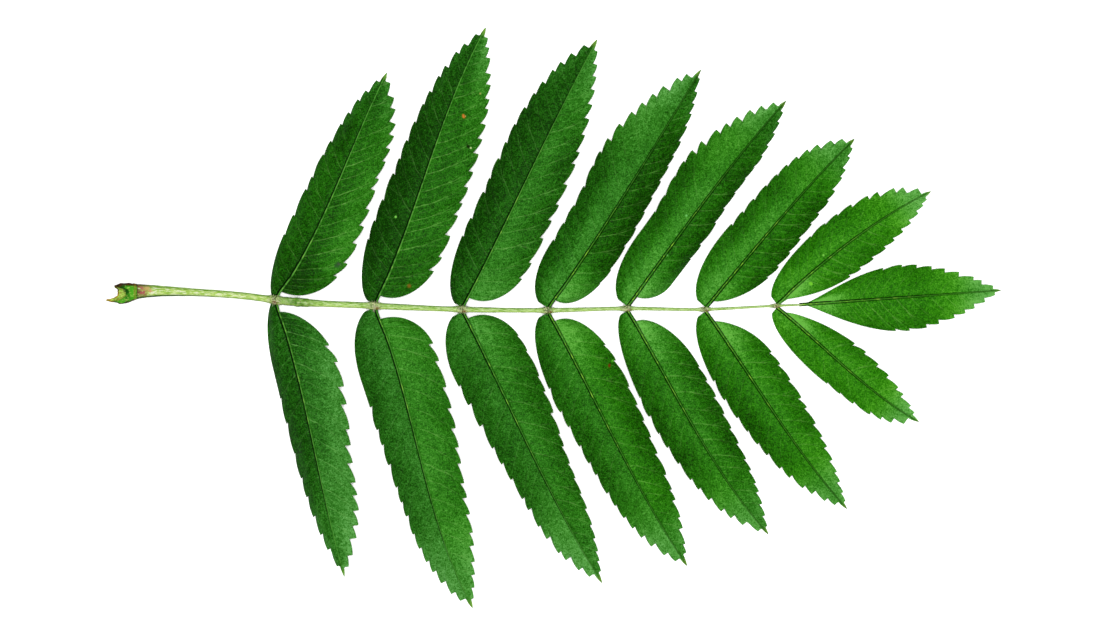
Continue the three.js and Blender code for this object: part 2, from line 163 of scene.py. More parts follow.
def makePiece(name, points, faces, material, values, nodes):
    # points in plan millimetres; values is a dictionary of numbers for each point
    place = np.array([*leaf["firstPair"], 0])
    mesh = bpy.data.meshes.new(name)
    mesh.from_pydata(((points + place) * mm).tolist(), [], faces)
    for key, numbers in values.items():
        mesh.attributes.new(key, "FLOAT", "POINT").data.foreach_set("value", np.asarray(numbers, float))
    turned = bmesh.new()  # with all its faces outward
    turned.from_mesh(mesh)
    bmesh.ops.recalc_face_normals(turned, faces=turned.faces)
    turned.to_mesh(mesh)
    turned.free()
    mesh.shade_smooth()
    mesh.materials.append(material)
    piece = addObject(name, mesh)
    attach(piece, "root")
    if nodes:
        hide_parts(*nodes)


class Value:
    # what comes out of a node: sums with it add the nodes that work them out
    def __init__(self, socket):
        self.socket = socket

    def __add__(self, other):
        return calc("ADD", self, other)

    def __sub__(self, other):
        return calc("SUBTRACT", self, other)

    def __rsub__(self, other):
        return calc("SUBTRACT", other, self)

    def __mul__(self, other):
        return calc("MULTIPLY", self, other)

    def __abs__(self):
        return calc("ABSOLUTE", self)

    def __round__(self):
        return calc("ROUND", self)


def feed(node, place, value):  # links what comes out of a node, and sets a plain number or colour
    if isinstance(value, Value):
        node.id_data.links.new(value.socket, node.inputs[place])
    else:
        node.inputs[place].default_value = value


def addNode(tree, kind, inputs=(), output=0, **settings):
    node = tree.nodes.new(kind)
    for key, value in settings.items():
        setattr(node, key, value)
    for place, value in (inputs.items() if isinstance(inputs, dict) else enumerate(inputs)):
        feed(node, place, value)
    return Value(node.outputs[output])


def treeOf(*values):  # the node tree that they come from
    return next(value.socket.id_data for value in values if isinstance(value, Value))


def calc(operation, *values):
    return addNode(treeOf(*values), "ShaderNodeMath", values, operation=operation)


def larger(first, second):
    return calc("MAXIMUM", first, second)


def ramp(value, low, high, toLow=0, toHigh=1):
    values = (value, low, high, toLow, toHigh)
    return addNode(treeOf(value), "ShaderNodeMapRange", values, interpolation_type="SMOOTHSTEP")


def mixColors(share, first, second):
    return addNode(treeOf(share), "ShaderNodeMixRGB", (share, first, second))


def paint(color, colors, **shares):  # each share lets its own colour show over those before
    for name, share in shares.items():
        color = mixColors(share, color, colors[name])
    return color


def attribute(tree, name):
    return addNode(tree, "ShaderNodeAttribute", output=2, attribute_name=name)


def noise(vector, scale, detail=2.0, roughness=0.5):
    values = {"Vector": vector, "Scale": scale, "Detail": detail, "Roughness": roughness}
    return addNode(treeOf(vector), "ShaderNodeTexNoise", values)


def combine(x, y, z=0):
    return addNode(treeOf(x), "ShaderNodeCombineXYZ", (x, y, z))


def newMaterial(name, roughness, specular):  # with its place in the object's own coordinates
    material = bpy.data.materials.new(name)
    material.use_nodes = True
    tree = material.node_tree
    shader = tree.nodes["Principled BSDF"]
    feed(shader, "Roughness", roughness)
    feed(shader, "Specular IOR Level", specular)
    return material, tree, shader, addNode(tree, "ShaderNodeTexCoord", output=3)


def addBump(shader, height, strength, distance):
    values = {"Height": height, "Strength": strength, "Distance": distance}
    feed(shader, "Normal", addNode(shader.id_data, "ShaderNodeBump", values))


def seen(red, green, blue):
    # a colour, each 0 to 255, as it looks in the studio light, which is brighter than plain white
    def linear(value):
        value /= 255
        return (value / 12.92 if value <= 0.04045 else ((value + 0.055) / 1.055) ** 2.4) / lightLevel
    return (linear(red), linear(green), linear(blue), 1)


def colorSteps(value, steps):
    node = treeOf(value).nodes.new("ShaderNodeValToRGB")
    elements = node.color_ramp.elements
    (elements[0].position, elements[0].color) = steps[0]
    (elements[1].position, elements[1].color) = steps[-1]
    for place, color in steps[1:-1]:
        elements.new(place).color = color
    feed(node, 0, value)
    return Value(node.outputs[0])


def addSpots(color, place, flecks, spots, squeeze=1):
    # ragged spots at fixed places; each is x and y in plan, size, colour
    tree = treeOf(color)
    flatPlace = addNode(tree, "ShaderNodeVectorMath", {0: place, 1: (squeeze, 1, 0)}, operation="MULTIPLY")
    firstX, firstY = leaf["firstPair"]
    for x, y, size, tint in spots:
        spot = ((x + firstX) * squeeze * mm, (y + firstY) * mm, 0)
        away = addNode(tree, "ShaderNodeVectorMath", {0: flatPlace, 1: spot}, 1, operation="DISTANCE")
        reach = size * 1.6 * mm
        color = mixColors(ramp(flecks * reach + away, reach, size * mm), color, tint)
    return color


# the blades' material

bladeLook = {
    # how each tone looks, from painted shade (dark) to painted sheen (light), on the duller and on the
    # fresher leaflets
    "dull": [(0, seen(14, 52, 4)), (0.15, seen(23, 77, 9)), (0.3, seen(33, 98, 15)),
             (0.5, seen(51, 125, 33)), (0.7, seen(77, 152, 59)), (1, seen(118, 192, 102))],
    "fresh": [(0, seen(14, 54, 1)), (0.15, seen(23, 79, 3)), (0.3, seen(30, 100, 4)),
              (0.5, seen(43, 126, 8)), (0.7, seen(64, 152, 20)), (1, seen(106, 192, 54))],
    "vein": seen(122, 188, 94),
    "freshVein": seen(128, 192, 82),
    "midrib": seen(50, 120, 20),
    "paleMidrib": seen(88, 162, 58),
    "knot": seen(166, 230, 66),
    "paleKnot": seen(130, 188, 76),
    "midribShade": seen(3, 26, 1),
    "underside": seen(122, 158, 104),
    "undersideVein": seen(168, 194, 128),
    # edge: a painted rim of light along the blade's edge, also used for random speckle on the underside
    "edge": seen(116, 172, 72),
    "point": seen(158, 198, 84),
    "roughness": 0.45,
    "specular": 0.01,
    "spots": [
        (42.2, 40.9, 0.75, seen(214, 128, 48)),
        (42.6, 41.0, 0.25, seen(244, 206, 128)),
        (43.2, 34.3, 0.6, seen(20, 44, 6)),
        (43.8, 33.9, 0.3, seen(196, 216, 150)),
        (45.9, 46.1, 0.4, seen(150, 170, 80)),
        (30.0, 3.1, 0.8, seen(128, 98, 26)),
        (27.0, 18.5, 0.4, seen(130, 214, 86)),
        (48.4, 11.5, 0.35, seen(116, 196, 90)),
        (14.2, 7.7, 1.5, seen(46, 92, 40)),
        (14.4, 8.0, 0.6, seen(70, 90, 64)),
        (91.9, 18.8, 0.5, seen(116, 204, 100)),
        (87.4, 10.0, 0.4, seen(104, 190, 80)),
        (122.5, 10.0, 0.45, seen(122, 206, 74)),
        (119.7, 3.7, 0.8, seen(118, 208, 50)),
        (74.6, -14.7, 0.65, seen(112, 52, 14)),
        (75.4, -13.6, 0.5, seen(88, 190, 36)),
        (112.9, -16.2, 0.4, seen(106, 180, 58)),
    ],
}


def makeBladeMaterial():
    look = bladeLook
    material, tree, shader, place = newMaterial("leafletBlade", look["roughness"], look["specular"])
    keys = ("veinPhase", "veinSpacing", "across", "fromRib")
    phase, spacing, across, fromRib = (attribute(tree, key) for key in keys)
    patches = noise(place, 170, 3)
    flecks = noise(place, 900, 2)
    grain = noise(place, 3600, 2)

    # side veins: lines where the phase is whole, that fork towards the edge, with finer ones between
    turn = phase + noise(place, 300) * 0.22 - 0.11
    part = abs(turn - round(turn))
    gap = part * spacing
    mainVein = ramp(gap, 0.125, 0.02) * ramp(across, 1.0, 0.55, 0.1, 1)
    forkGap = abs(part - ramp(across, 0.35, 1.1) * 0.42) * spacing
    fork = ramp(forkGap, 0.11, 0.02) * ramp(across, 0.42, 0.6, 0, 0.4)
    betweenGap = (0.5 - part) * spacing
    between = ramp(betweenGap, 0.1, 0.02) * ramp(across, 0.65, 0.3, 0, 0.35)
    veins = larger(larger(mainVein, fork), between)
    ribGap = abs(fromRib)
    veins = veins * ramp(ribGap, 0.2, 0.5) * ramp(flecks, 0.34, 0.62, 0.3, 1)
    veins = veins * ramp(patches, 0.35, 0.62, 0.5, 1.15)

    # the net between them, whose meshes differ a little in tone
    def net(scale, width):
        values = {"Vector": place, "Scale": scale}
        edges = addNode(tree, "ShaderNodeTexVoronoi", values, feature="DISTANCE_TO_EDGE")
        return ramp(edges, width, 0)

    coarseNet, fineNet = net(760, 0.1), net(2300, 0.16)
    cells = addNode(tree, "ShaderNodeTexVoronoi", {"Vector": place, "Scale": 2300}, 1)
    cells = addNode(tree, "ShaderNodeSeparateColor", [cells])

    # tone and colour of the upper side: the tone attribute is painted light and shade, the noise on it the
    # blade's own mottling
    tone = attribute(tree, "tone") + ramp(patches, 0.3, 0.7, -0.05, 0.05)
    tone = tone + ramp(flecks, 0.3, 0.7, -0.03, 0.03) + ramp(grain, 0.3, 0.7, -0.14, 0.16)
    tone = tone + cells * 0.2 - 0.12 + coarseNet * 0.09 + fineNet * 0.17
    fresh = attribute(tree, "freshness")
    color = mixColors(fresh, colorSteps(tone, look["dull"]), colorSteps(tone, look["fresh"]))
    veinColor = paint(look["vein"], look, freshVein=fresh)
    color = mixColors(veins * attribute(tree, "veinShow"), color, veinColor)
    color = addSpots(color, place, flecks, look["spots"])
    show, narrowing = attribute(tree, "ribPale"), attribute(tree, "ribWidth")
    # a thin paler rim along the edge, a painted glow of light through the thin margin
    color = paint(color, look, edge=ramp(across, 0.965, 1.0) * ramp(patches, 0.4, 0.7, 0.3, 0.75),
                  point=ramp(narrowing, 0.374, 0.354, 0, 0.75))

    # the midrib: a light line between two dark ones, the dark ones painted shade in its grooves, or beside
    # only one where it shows pale
    out = fromRib + flecks * 0.14 - 0.07

    def lineAt(middle, reach):  # 1 within reach of the middle, soft beyond, in mm
        return ramp(abs(out - narrowing * middle) - narrowing * reach, 0.09, 0)

    bandPlace = show * 0.14
    band = lineAt(bandPlace, show * 0.05 + 0.07) * ramp(flecks, 0.34, 0.54, 0.35, 0.95)
    knots = ramp(gap, 0.6, 0.2, 0.12, 1) * ramp(flecks, 0.42, 0.62)
    core = lineAt(bandPlace, 0.05) * knots * ramp(narrowing, 0.5, 0.85)
    color = mixColors(band, color, paint(look["midrib"], look, paleMidrib=show))
    color = mixColors(core, color, paint(look["knot"], look, paleKnot=show))
    # the dark lines beside the midrib are painted shade in its grooves
    hindLine = lineAt(show * 0.06 - 0.3, show * 0.05 + 0.1)
    foreLine = lineAt(0.3, 0.1) * (1 - show)
    dark = larger(hindLine, foreLine) * attribute(tree, "grooveShadeStrength") * ramp(flecks, 0.3, 0.46, 0.7, 1)
    color = paint(color, look, midribShade=dark)

    # the paler underside
    ribs = larger(larger(veins, ramp(ribGap, 0.7, 0.35)), coarseNet * 0.4)
    lower = paint(look["underside"], look, undersideVein=ribs, edge=ramp(grain, 0.3, 0.7, 0, 0.2))
    feed(shader, "Base Color", mixColors(attribute(tree, "underside"), color, lower))
    feed(shader, "Roughness", ramp(grain, 0.3, 0.7, look["roughness"] - 0.05, look["roughness"] + 0.08))
    addBump(shader, grain * 0.5 - coarseNet * 0.6 - fineNet * 0.3, 0.35, 0.00008)
    return material


# leaflets

# Length and lean are those of the straight line from the stem to the tip, and bow moves the midrib off
# it towards the fore side, which faces the leaf's tip. rise is the arch over the ground, fresh how fresh
# the green is, and pale how much the midrib stands out. Of each half, start and round are the shares of
# the length where the base begins and where it has rounded out, wedge makes the base straighter, full is
# how late the half tapers, and swell makes it fuller beyond the middle. The first tooth stands at the
# share first; bite is how far the teeth are cut in, and lateBite the same beyond the middle. drop is how
# far the edge falls. tone is how light the half is towards its edge; rib, base and tip are added to it
# beside the midrib, at the base and at the tip, inner moves the base's share towards the midrib, tipRib
# is added beside the midrib near the tip, late to the outer blade at two thirds, and fresher to fresh.
# tone and what rib, base, tip, tipRib and late add to it are painted light and shade: lower for painted
# shade where a half slopes away from the light, higher for painted sheen.

leaflets = {
    "left_1": dict(
        length=56.7, lean=64, bow=(3.6, 0), rise=3.2, pale=1, fresh=0.6,
        fore=dict(start=0.04, width=11.2, round=0.3, full=5.6, swell=-1.5, teeth=14, first=0.19,
                  bite=0.95, drop=1.6, tone=0.46, rib=-0.22, base=-0.2, tip=-0.2),
        hind=dict(width=4.9, round=0.3, wedge=0.62, full=7, teeth=11, first=0.25, bite=0.4, drop=3.4,
                  tone=0.25, rib=-0.06, base=-0.08, tip=-0.03, late=-0.08)),
    "left_2": dict(
        length=67.2, lean=68.3, bow=(1.9, -2.6), rise=3.4, pale=1, fresh=0.25,
        fore=dict(start=0.038, width=10.1, round=0.26, full=4.6, teeth=17, first=0.18, bite=1, drop=1.4,
                  tone=0.34, rib=-0.05, base=-0.03, tip=0.1, tipRib=-0.12, fresher=0.3),
        hind=dict(width=7.2, round=0.28, full=7.3, teeth=14, first=0.2, bite=0.5, drop=2.8, tone=0.06,
                  rib=0.06, base=0.05, tip=0.1)),
    "left_3": dict(
        length=67.7, lean=63.4, bow=(0.6, -0.6), rise=3.5, pale=0.7, fresh=0.15,
        fore=dict(width=9.4, round=0.24, full=4.1, teeth=15, first=0.18, bite=0.85, drop=1.6, tone=0.22,
                  rib=0.2, base=0.2, inner=-1, tip=0.25, fresher=0.25),
        hind=dict(width=7.4, round=0.27, full=9, swell=0.8, teeth=14, first=0.22, bite=0.55, drop=2.8,
                  tone=0.1, rib=0.08, base=0.05, tip=0.12)),
    "left_4": dict(
        length=64.1, lean=57.4, bow=(1.2, 0.5), rise=3.8, pale=0.1, fresh=0.35,
        fore=dict(width=7.2, round=0.25, full=4.4, swell=-0.6, teeth=15, first=0.18, bite=0.3, drop=3.2,
                  tone=0.11, rib=0.08, base=0.5, tip=0.15, fresher=0.35),
        hind=dict(width=7.4, round=0.21, wedge=0.45, full=8.8, swell=2.1, teeth=14, first=0.22, bite=0.4,
                  lateBite=1.25, drop=2, tone=0.2, rib=0.24, base=0.03, tip=0.4, tipRib=-0.14,
                  late=0.11)),
    "left_5": dict(
        length=58.8, lean=52.4, bow=(-0.6, -1.6), rise=3.8, pale=0, fresh=0.55,
        fore=dict(start=0.06, width=4.8, round=0.18, wedge=0.7, full=6, swell=-1, teeth=12, first=0.3,
                  bite=0.25, drop=3.4, tone=0.2, rib=0.08, base=0.5, tip=0.12, fresher=0.15),
        hind=dict(width=8, round=0.27, wedge=0.45, full=8.3, swell=2.2, teeth=12, first=0.36, bite=0.3,
                  lateBite=1.25, drop=1.8, tone=0.23, rib=0.3, base=0.12, tip=0.35, tipRib=-0.05,
                  late=0.11, fresher=0.15)),
    "left_6": dict(
        length=51, lean=48.6, bow=(-0.6, -1.4), rise=3.2, pale=0, fresh=0.8,
        fore=dict(start=0.055, width=6.3, round=0.36, wedge=0.8, full=5.1, swell=-0.5, teeth=12,
                  first=0.29, bite=0.45, drop=2.2, tone=0.19, rib=0.14, base=0.38, tip=0.3, fresher=0.15),
        hind=dict(width=8.2, round=0.35, wedge=0.47, full=8, teeth=11, first=0.36, bite=0.5, drop=1.8,
                  tone=0.27, rib=0.25, base=0.15, tip=0.3)),
    "left_7": dict(
        length=43.4, lean=36.3, bow=(-2, -2.6), rise=2.6, pale=0.2, fresh=1,
        fore=dict(start=0.07, width=4.8, round=0.46, wedge=1, full=5, teeth=10, first=0.4, bite=0.7,
                  drop=1.4, tone=0.38, rib=0.08, base=0.65, inner=0.4, tip=0.35),
        hind=dict(width=8.7, round=0.66, wedge=0.47, full=6.5, teeth=9, first=0.36, bite=0.4,
                  lateBite=0.8, drop=1.4, tone=0.38, rib=0.14, base=0.08, tip=0.3)),
    "right_1": dict(
        length=64, lean=76.1, bow=(2.4, -0.4), rise=3.6, pale=0.8, fresh=0,
        fore=dict(width=10.6, round=0.32, wedge=0.65, full=4.8, swell=-1.5, teeth=14, first=0.2, bite=1.1,
                  drop=1.6, tone=0.54, rib=-0.18, base=-0.25, tip=0.02, tipRib=-0.08),
        hind=dict(width=4.3, round=0.24, wedge=0.62, full=6.6, teeth=9, first=0.34, bite=0.3, drop=3.8,
                  tone=0.2, rib=-0.02, base=0.05, tip=0.2)),
    "right_2": dict(
        length=71.3, lean=72.1, bow=(2.4, -4), rise=3.8, pale=0.6, fresh=0.2,
        fore=dict(width=10.1, round=0.2, full=3.2, swell=-1.2, teeth=16, first=0.17, bite=0.85, drop=1.6,
                  tone=0.38, rib=0.1, base=0.02, tip=0.18, fresher=0.35),
        hind=dict(width=8, round=0.21, full=9, teeth=14, first=0.3, bite=0.55, drop=2.4, tone=0.28,
                  rib=0.12, base=0, tip=0.25, tipRib=0.06, fresher=-0.2)),
    "right_3": dict(
        length=69, lean=62.9, bow=(0.2, -1.8), rise=3.8, pale=0.4, fresh=0.2,
        fore=dict(start=0.035, width=8.9, round=0.2, full=3.2, swell=-1.6, teeth=16, first=0.16, bite=0.3,
                  drop=2.8, tone=0.26, rib=0.17, base=0.15, tip=0.1, fresher=0.3),
        hind=dict(width=8.5, round=0.21, full=6.8, swell=-0.8, teeth=14, first=0.22, bite=0.7, drop=2.4,
                  tone=0.25, rib=0.1, base=0.08, tip=0.35, tipRib=0.08)),
    "right_4": dict(
        length=65.4, lean=61.3, bow=(0.2, -2), rise=3.6, pale=0.2, fresh=0.55,
        fore=dict(width=8.2, round=0.28, full=3.9, swell=-0.8, teeth=14, first=0.2, bite=0.4, drop=2.6,
                  tone=0.25, rib=0.2, base=0.3, tip=0.18, fresher=0.35),
        hind=dict(width=8.4, round=0.35, wedge=0.46, full=7.2, teeth=14, first=0.24, bite=0.5, drop=2.4,
                  tone=0.22, rib=0.15, base=0.08, tip=0.35, tipRib=0.08)),
    "right_5": dict(
        length=59.9, lean=57.8, bow=(-0.4, -3.4), rise=3.4, pale=0.2, fresh=0.65,
        fore=dict(start=0.06, width=7.1, round=0.32, wedge=0.6, full=3.8, swell=-0.6, teeth=13,
                  first=0.33, bite=0.4, drop=2.4, tone=0.22, rib=0.22, base=0.4, tip=0.2, fresher=0.12),
        hind=dict(width=9.1, round=0.6, full=6.3, teeth=12, first=0.31, bite=0.5, drop=2.2, tone=0.22,
                  rib=0.17, base=0.12, tip=0.35, tipRib=0.06, fresher=0.12)),
    "right_6": dict(
        length=55.1, lean=54.4, bow=(-0.2, -2.2), rise=3, pale=0.1, fresh=0.95,
        fore=dict(start=0.065, width=6.8, round=0.32, wedge=0.85, full=3.6, teeth=13, first=0.3,
                  bite=0.65, drop=2, tone=0.32, rib=0.18, base=0.4, tip=0.3),
        hind=dict(width=8.4, round=0.44, full=5.4, teeth=12, first=0.26, bite=0.5, drop=1.8, tone=0.24,
                  rib=0.16, base=0.15, tip=0.35)),
    "right_7": dict(
        length=41.5, lean=38.9, bow=(-0.2, -2.4), rise=2.6, pale=0.1, fresh=1,
        fore=dict(start=0.07, width=5, round=0.6, wedge=0.85, full=4.3, teeth=8, first=0.46, bite=0.7,
                  drop=1.4, tone=0.42, rib=0.15, base=0.75, inner=0.5, tip=0.3),
        hind=dict(width=6.4, round=0.5, full=8.4, teeth=7, first=0.48, bite=0.45, drop=1.4, tone=0.44,
                  rib=0.06, base=0.1, tip=0.2)),
    "end": dict(
        length=45.9, lean=4.1, bow=(0, 0), rise=2.4, start=0.05, pale=0.2, fresh=1,
        fore=dict(width=8.1, round=0.6, wedge=1.15, full=4, swell=0.3, teeth=9, first=0.47, bite=0.6,
                  drop=1.4, tone=0.38, rib=0.06, base=0.45, tip=0.4, tipRib=-0.1),
        hind=dict(width=8.1, round=0.62, wedge=1.2, full=4, teeth=9, first=0.43, bite=0.55, drop=1.4,
                  tone=0.4, rib=0.06, base=0.55, inner=1, tip=0.35, tipRib=-0.08)),
}

blade = {
    "thickness": 0.24,
    "edgeThickness": 0.13,
    "footHalfWidth": 0.4,
    "foot": 0.5,  # starts inside the swelling of the stem
    "stemGap": 0.15,
    "foreStart": 0.045,
    "hindStart": 0,
    "roundBase": 0.5,
    "bellyPlace": 0.62,
    "bellySpread": 0.18,
    "toothLean": -0.05,
    "toothBack": 1.35,  # how full its long side is
    "toothBulge": 0.045,
    "toothCrowding": 0.4,
    "toothWobble": 0.66,
    "calmerTip": 0.67,  # what that loses towards the tip
    "bulgeWobble": 0.8,
    "biteWobble": 0.5,
    "tipBite": 1.6,  # cuts get shallower where the half is narrower than its width over this
    "leastNotch": 0.3,  # what a cut leaves of the half
    "cutShare": 0.6,  # of the narrowing from tooth to tooth
    "edgeCurl": 2.2,
    "restShare": 0.3,  # the part beyond this can come to rest on the ground
    "restBend": 0.12,  # how softly it flattens there
    "restDip": 0.08,  # takes back what that lifts it
    "groundGap": 0.01,
    "leastThickness": 0.1,
    "leastStep": 0.002,  # between rows at the midrib
    "veinLag": 1.35,  # how far veins lean forward
    "veinBend": 0.22,
    "grooveDepth": 0.2,  # the midrib's groove
    "grooveWidth": 0.34,
    "lipHeight": 0.05,  # of the swelling to each side of the groove
    "rimReach": 0.04,  # how far the rounded rim stands out
    "veinDepth": 0.07,
    "foreVeins": 0.46,  # how clearly side veins show
    "hindVeins": 0.19,
    "quilt": 0.11,  # the blade bulges between its veins
    "waves": 0.3,  # unevenness of the edge
    "ridge": 0.5,  # of the midrib on the underside
    "ridgeWidth": 0.42,
    "veinRidge": 0.12,
    # where the rows of the mesh stand within each tooth, one of them in its notch, and the columns
    # from the midrib to the edge
    "notchPlace": 0.07,
    "rowPlaces": (0, 0.035, 0.07, 0.13, 0.2, 0.3, 0.4, 0.5, 0.6, 0.7, 0.8, 0.88, 0.95),
    "columnPlaces": (0.013, 0.029, 0.046, 0.072, 0.11, 0.16, 0.21, 0.27, 0.33, 0.39, 0.45, 0.51,
                     0.57, 0.63, 0.69, 0.745, 0.8, 0.85, 0.9, 0.94, 0.975, 1),
}


def halfWidth(half, t):
    across = np.clip((t - half["start"]) / (half["round"] - half["start"]), 0, 1)
    base = (1 - (1 - across) ** 2) ** half.get("wedge", blade["roundBase"])
    belly = half.get("swell", 0) * hump(t, blade["bellyPlace"], blade["bellySpread"])
    return blade["footHalfWidth"] * (1 - across) + (half["width"] * base + belly) * (1 - t ** half["full"])


def toothRows(half, length, draw):
    # one row of the mesh for each line: phase, smooth edge s and w, toothed edge s and w
    teeth = half["teeth"]
    spacing = (1 - half["first"]) / teeth
    shares = np.arange(teeth) / teeth
    tips = half["first"] + (1 - half["first"]) * shares * (1 + blade["toothCrowding"] * (1 - shares))
    tips[1:] += [(draw() - 0.5) * blade["toothWobble"] * spacing * (1 - blade["calmerTip"] * t)
                 for t in tips[1:]]
    corners = [*((t, halfWidth(half, t)) for t in tips), (1, 0)]
    notch = blade["notchPlace"]
    rows = []
    for k, (t, w) in enumerate(corners[:-1]):
        nextT, nextW = corners[k + 1]
        bite = half["bite"] + (half.get("lateBite", half["bite"]) - half["bite"]) * smooth(t, 0.52, 0.66)
        bite *= 1 + blade["biteWobble"] * (draw() - 0.5)
        bite *= min(1, blade["tipBite"] * w / half["width"])
        taper = max(w - nextW, 0)  # the cut takes a share of the narrowing, the back the rest
        notchW = max(w - max(bite, blade["cutShare"] * (bite + taper)), blade["leastNotch"] * w)
        notchS = (t + blade["toothLean"] * spacing) * length
        bulge = blade["toothBulge"] * (nextT - t) * length * (1 + blade["bulgeWobble"] * (draw() - 0.5))
        for place in blade["rowPlaces"]:
            env = t + (nextT - t) * place
            smoothW = halfWidth(half, env)
            smoothW = max(smoothW - 0.4 * bite, 0.5 * smoothW)
            if place <= notch:  # down the cut from tip to notch
                down = place / notch
                s = t * length + (notchS - t * length) * down
                edgeW = w + (notchW - w) * down
            else:  # along the tooth's rounded back
                g = (place - notch) / (1 - notch)
                s = notchS + (nextT * length - notchS) * g
                rise = 1 - (1 - g) ** blade["toothBack"] if nextW > notchW else g ** blade["toothBack"]
                edgeW = notchW + (nextW - notchW) * rise + bulge * 4 * g * (1 - g)
            smoothW = min(smoothW, (1.05 + 0.2 * edgeW) * edgeW)  # notches are deep near the tip
            rows.append((k + place, env * length, max(smoothW, 0.02), s, edgeW))
    return rows


def baseRows(half, length, foot):
    # the toothless base, with its rows spaced as the veins of the toothed part are
    fine = np.linspace(0, 1, 240) ** 1.8
    t = half["start"] + (half["first"] - half["start"]) * fine
    s = np.maximum(t * length, foot)
    w = halfWidth(half, t)
    run = np.concatenate([[0], np.cumsum(np.hypot(np.diff(s), np.diff(w)))])
    toothStep = (1 - half["first"]) / half["teeth"] * length
    veins = run[-1] / toothStep
    phases = [k + place for k in range(-math.ceil(veins), 0) for place in blade["rowPlaces"]]
    phases = [phase for phase in phases if phase > -veins]
    rows = []
    width = blade["footHalfWidth"]
    if half["start"] > 0:  # the narrow foot below the base
        for share in (0, 0.35, 0.7, 1):
            along = foot + (half["start"] * length - foot) * share
            rows.append((-veins - 1 + share * 0.9, along, width, along, width))
    else:
        rows.append((-veins, foot, width, foot, width))
    for phase in phases:
        at = run[-1] + phase * toothStep
        along, out = np.interp(at, run, s), np.interp(at, run, w)
        rows.append((phase, along, out, along, out))
    return rows


def upperFaces(ribS, halves):
    # the faces of one side of a blade, and the points of each half's rim from the foot to the tip
    faces, rims = [], []
    start = len(ribS)
    last = start - 1  # the midrib's last point is the leaflet's tip
    for half in halves:
        rowCount, columns = half["s"].shape
        index = [[start + r * columns + c for c in range(columns)] for r in range(rowCount)]
        start += rowCount * columns
        for near, far in zip(index, index[1:]):
            faces += [(near[c], near[c + 1], far[c + 1], far[c]) for c in range(columns - 1)]
        faces += [(index[-1][c], index[-1][c + 1], last) for c in range(columns - 1)]
        i = j = 0  # the strip between the midrib and the first column
        while i < last or j < rowCount - 1:
            if j == rowCount - 1 or (i < last and ribS[i + 1] <= half["s"][j + 1, 0]):
                faces.append((i, index[j][0], i + 1))
                i += 1
            else:
                faces.append((i, index[j][0], index[j + 1][0]))
                j += 1
        rims.append([*index[0], *(line[-1] for line in index[1:])])
    return faces, rims


def ribOffset(spec, t):  # keeps to the middle of the narrow foot at first
    bow = spec["bow"][0] * (1 - t) + spec["bow"][1] * t
    return 3 * t * (1 - t) * bow * smooth(t, -0.02, 0.12)


def relief(gap, t):  # of the upper side beside the midrib
    groove = -blade["grooveDepth"] * hump(gap, 0, blade["grooveWidth"]) * (1 - t) ** 0.4
    return groove + blade["lipHeight"] * hump(gap, 0.9, 0.5) * (1 - t) ** 0.4


def ridge(gap, t):  # of the underside below it
    return blade["ridge"] * hump(gap, 0, blade["ridgeWidth"]) * (1 - t) ** 0.6


def placeRows(spec, half, sign, room, draw):
    # the lines of one half from the midrib to the edge: the phase, where each leaves the midrib, and
    # its ends at the smooth and at the toothed edge
    length, lean = spec["length"], math.radians(spec["lean"])
    rows = np.array(baseRows(half, length, blade["foot"]) + toothRows(half, length, draw))
    phase, smoothS, smoothW, edgeS, edgeW = rows.T
    if room:  # keeps the base of the blade off the stem
        for along, across in ((smoothS, smoothW), (edgeS, edgeW)):
            least = (room + sign * across * math.cos(lean)) / math.sin(lean)
            along[4:] = np.maximum(along, least)[4:]
    bladeStart = max(blade["foot"], half["start"] * length)
    past = np.maximum(smoothS - bladeStart, 0)  # rows leave the midrib nearer the foot than they end
    fromS = np.minimum(smoothS, bladeStart)
    fromS = fromS + past ** 2 / np.maximum(past + blade["veinLag"] * smoothW, 0.01)
    order = np.arange(len(fromS))
    fromS = np.maximum.accumulate(fromS) + order * blade["leastStep"]
    fromS = np.minimum(fromS, length - 0.02 * (len(fromS) - order) ** 0.5)
    return [line[:, None] for line in (phase, fromS, smoothS, smoothW, edgeS, edgeW)]


def greenOf(spec, half, t, v):  # its tone and freshness
    # painted sheen beside the midrib and at the base, painted shade there where rib or base is below
    # nought
    beside = half["rib"] * smooth(v, 0.8, 0.15) * (1 - 0.9 * smooth(t, 0.5, 0.85))
    inner = 1 + half.get("inner", 0) * (0.5 - 1.2 * smooth(v, 0.2, 0.6))
    paintedSheen = beside + half["base"] * hump(t, 0.07, 0.13) * inner
    # the tone is painted light and shade
    tone = half["tone"] + paintedSheen + half["tip"] * smooth(t, 0.55, 0.92)
    tone = tone + half.get("tipRib", 0) * smooth(v, 0.7, 0.15) * smooth(t, 0.6, 0.85)
    tone = tone + half.get("late", 0) * smooth(v, 0.2, 0.5) * hump(t, 0.67, 0.1)
    tone = 1.1 * (tone + 0.13 * smooth(t, 0.64, 0.9) * smooth(v, 0.3, 0.8)) - 0.09
    freshness = (spec["fresh"] + half.get("fresher", 0)) * (1 - 0.7 * smooth(t, 0.74, 0.92))
    # the green is duller and whiter under the painted sheen
    return tone, freshness * (1 - 0.25 * smooth(paintedSheen, 0.05, 0.35))


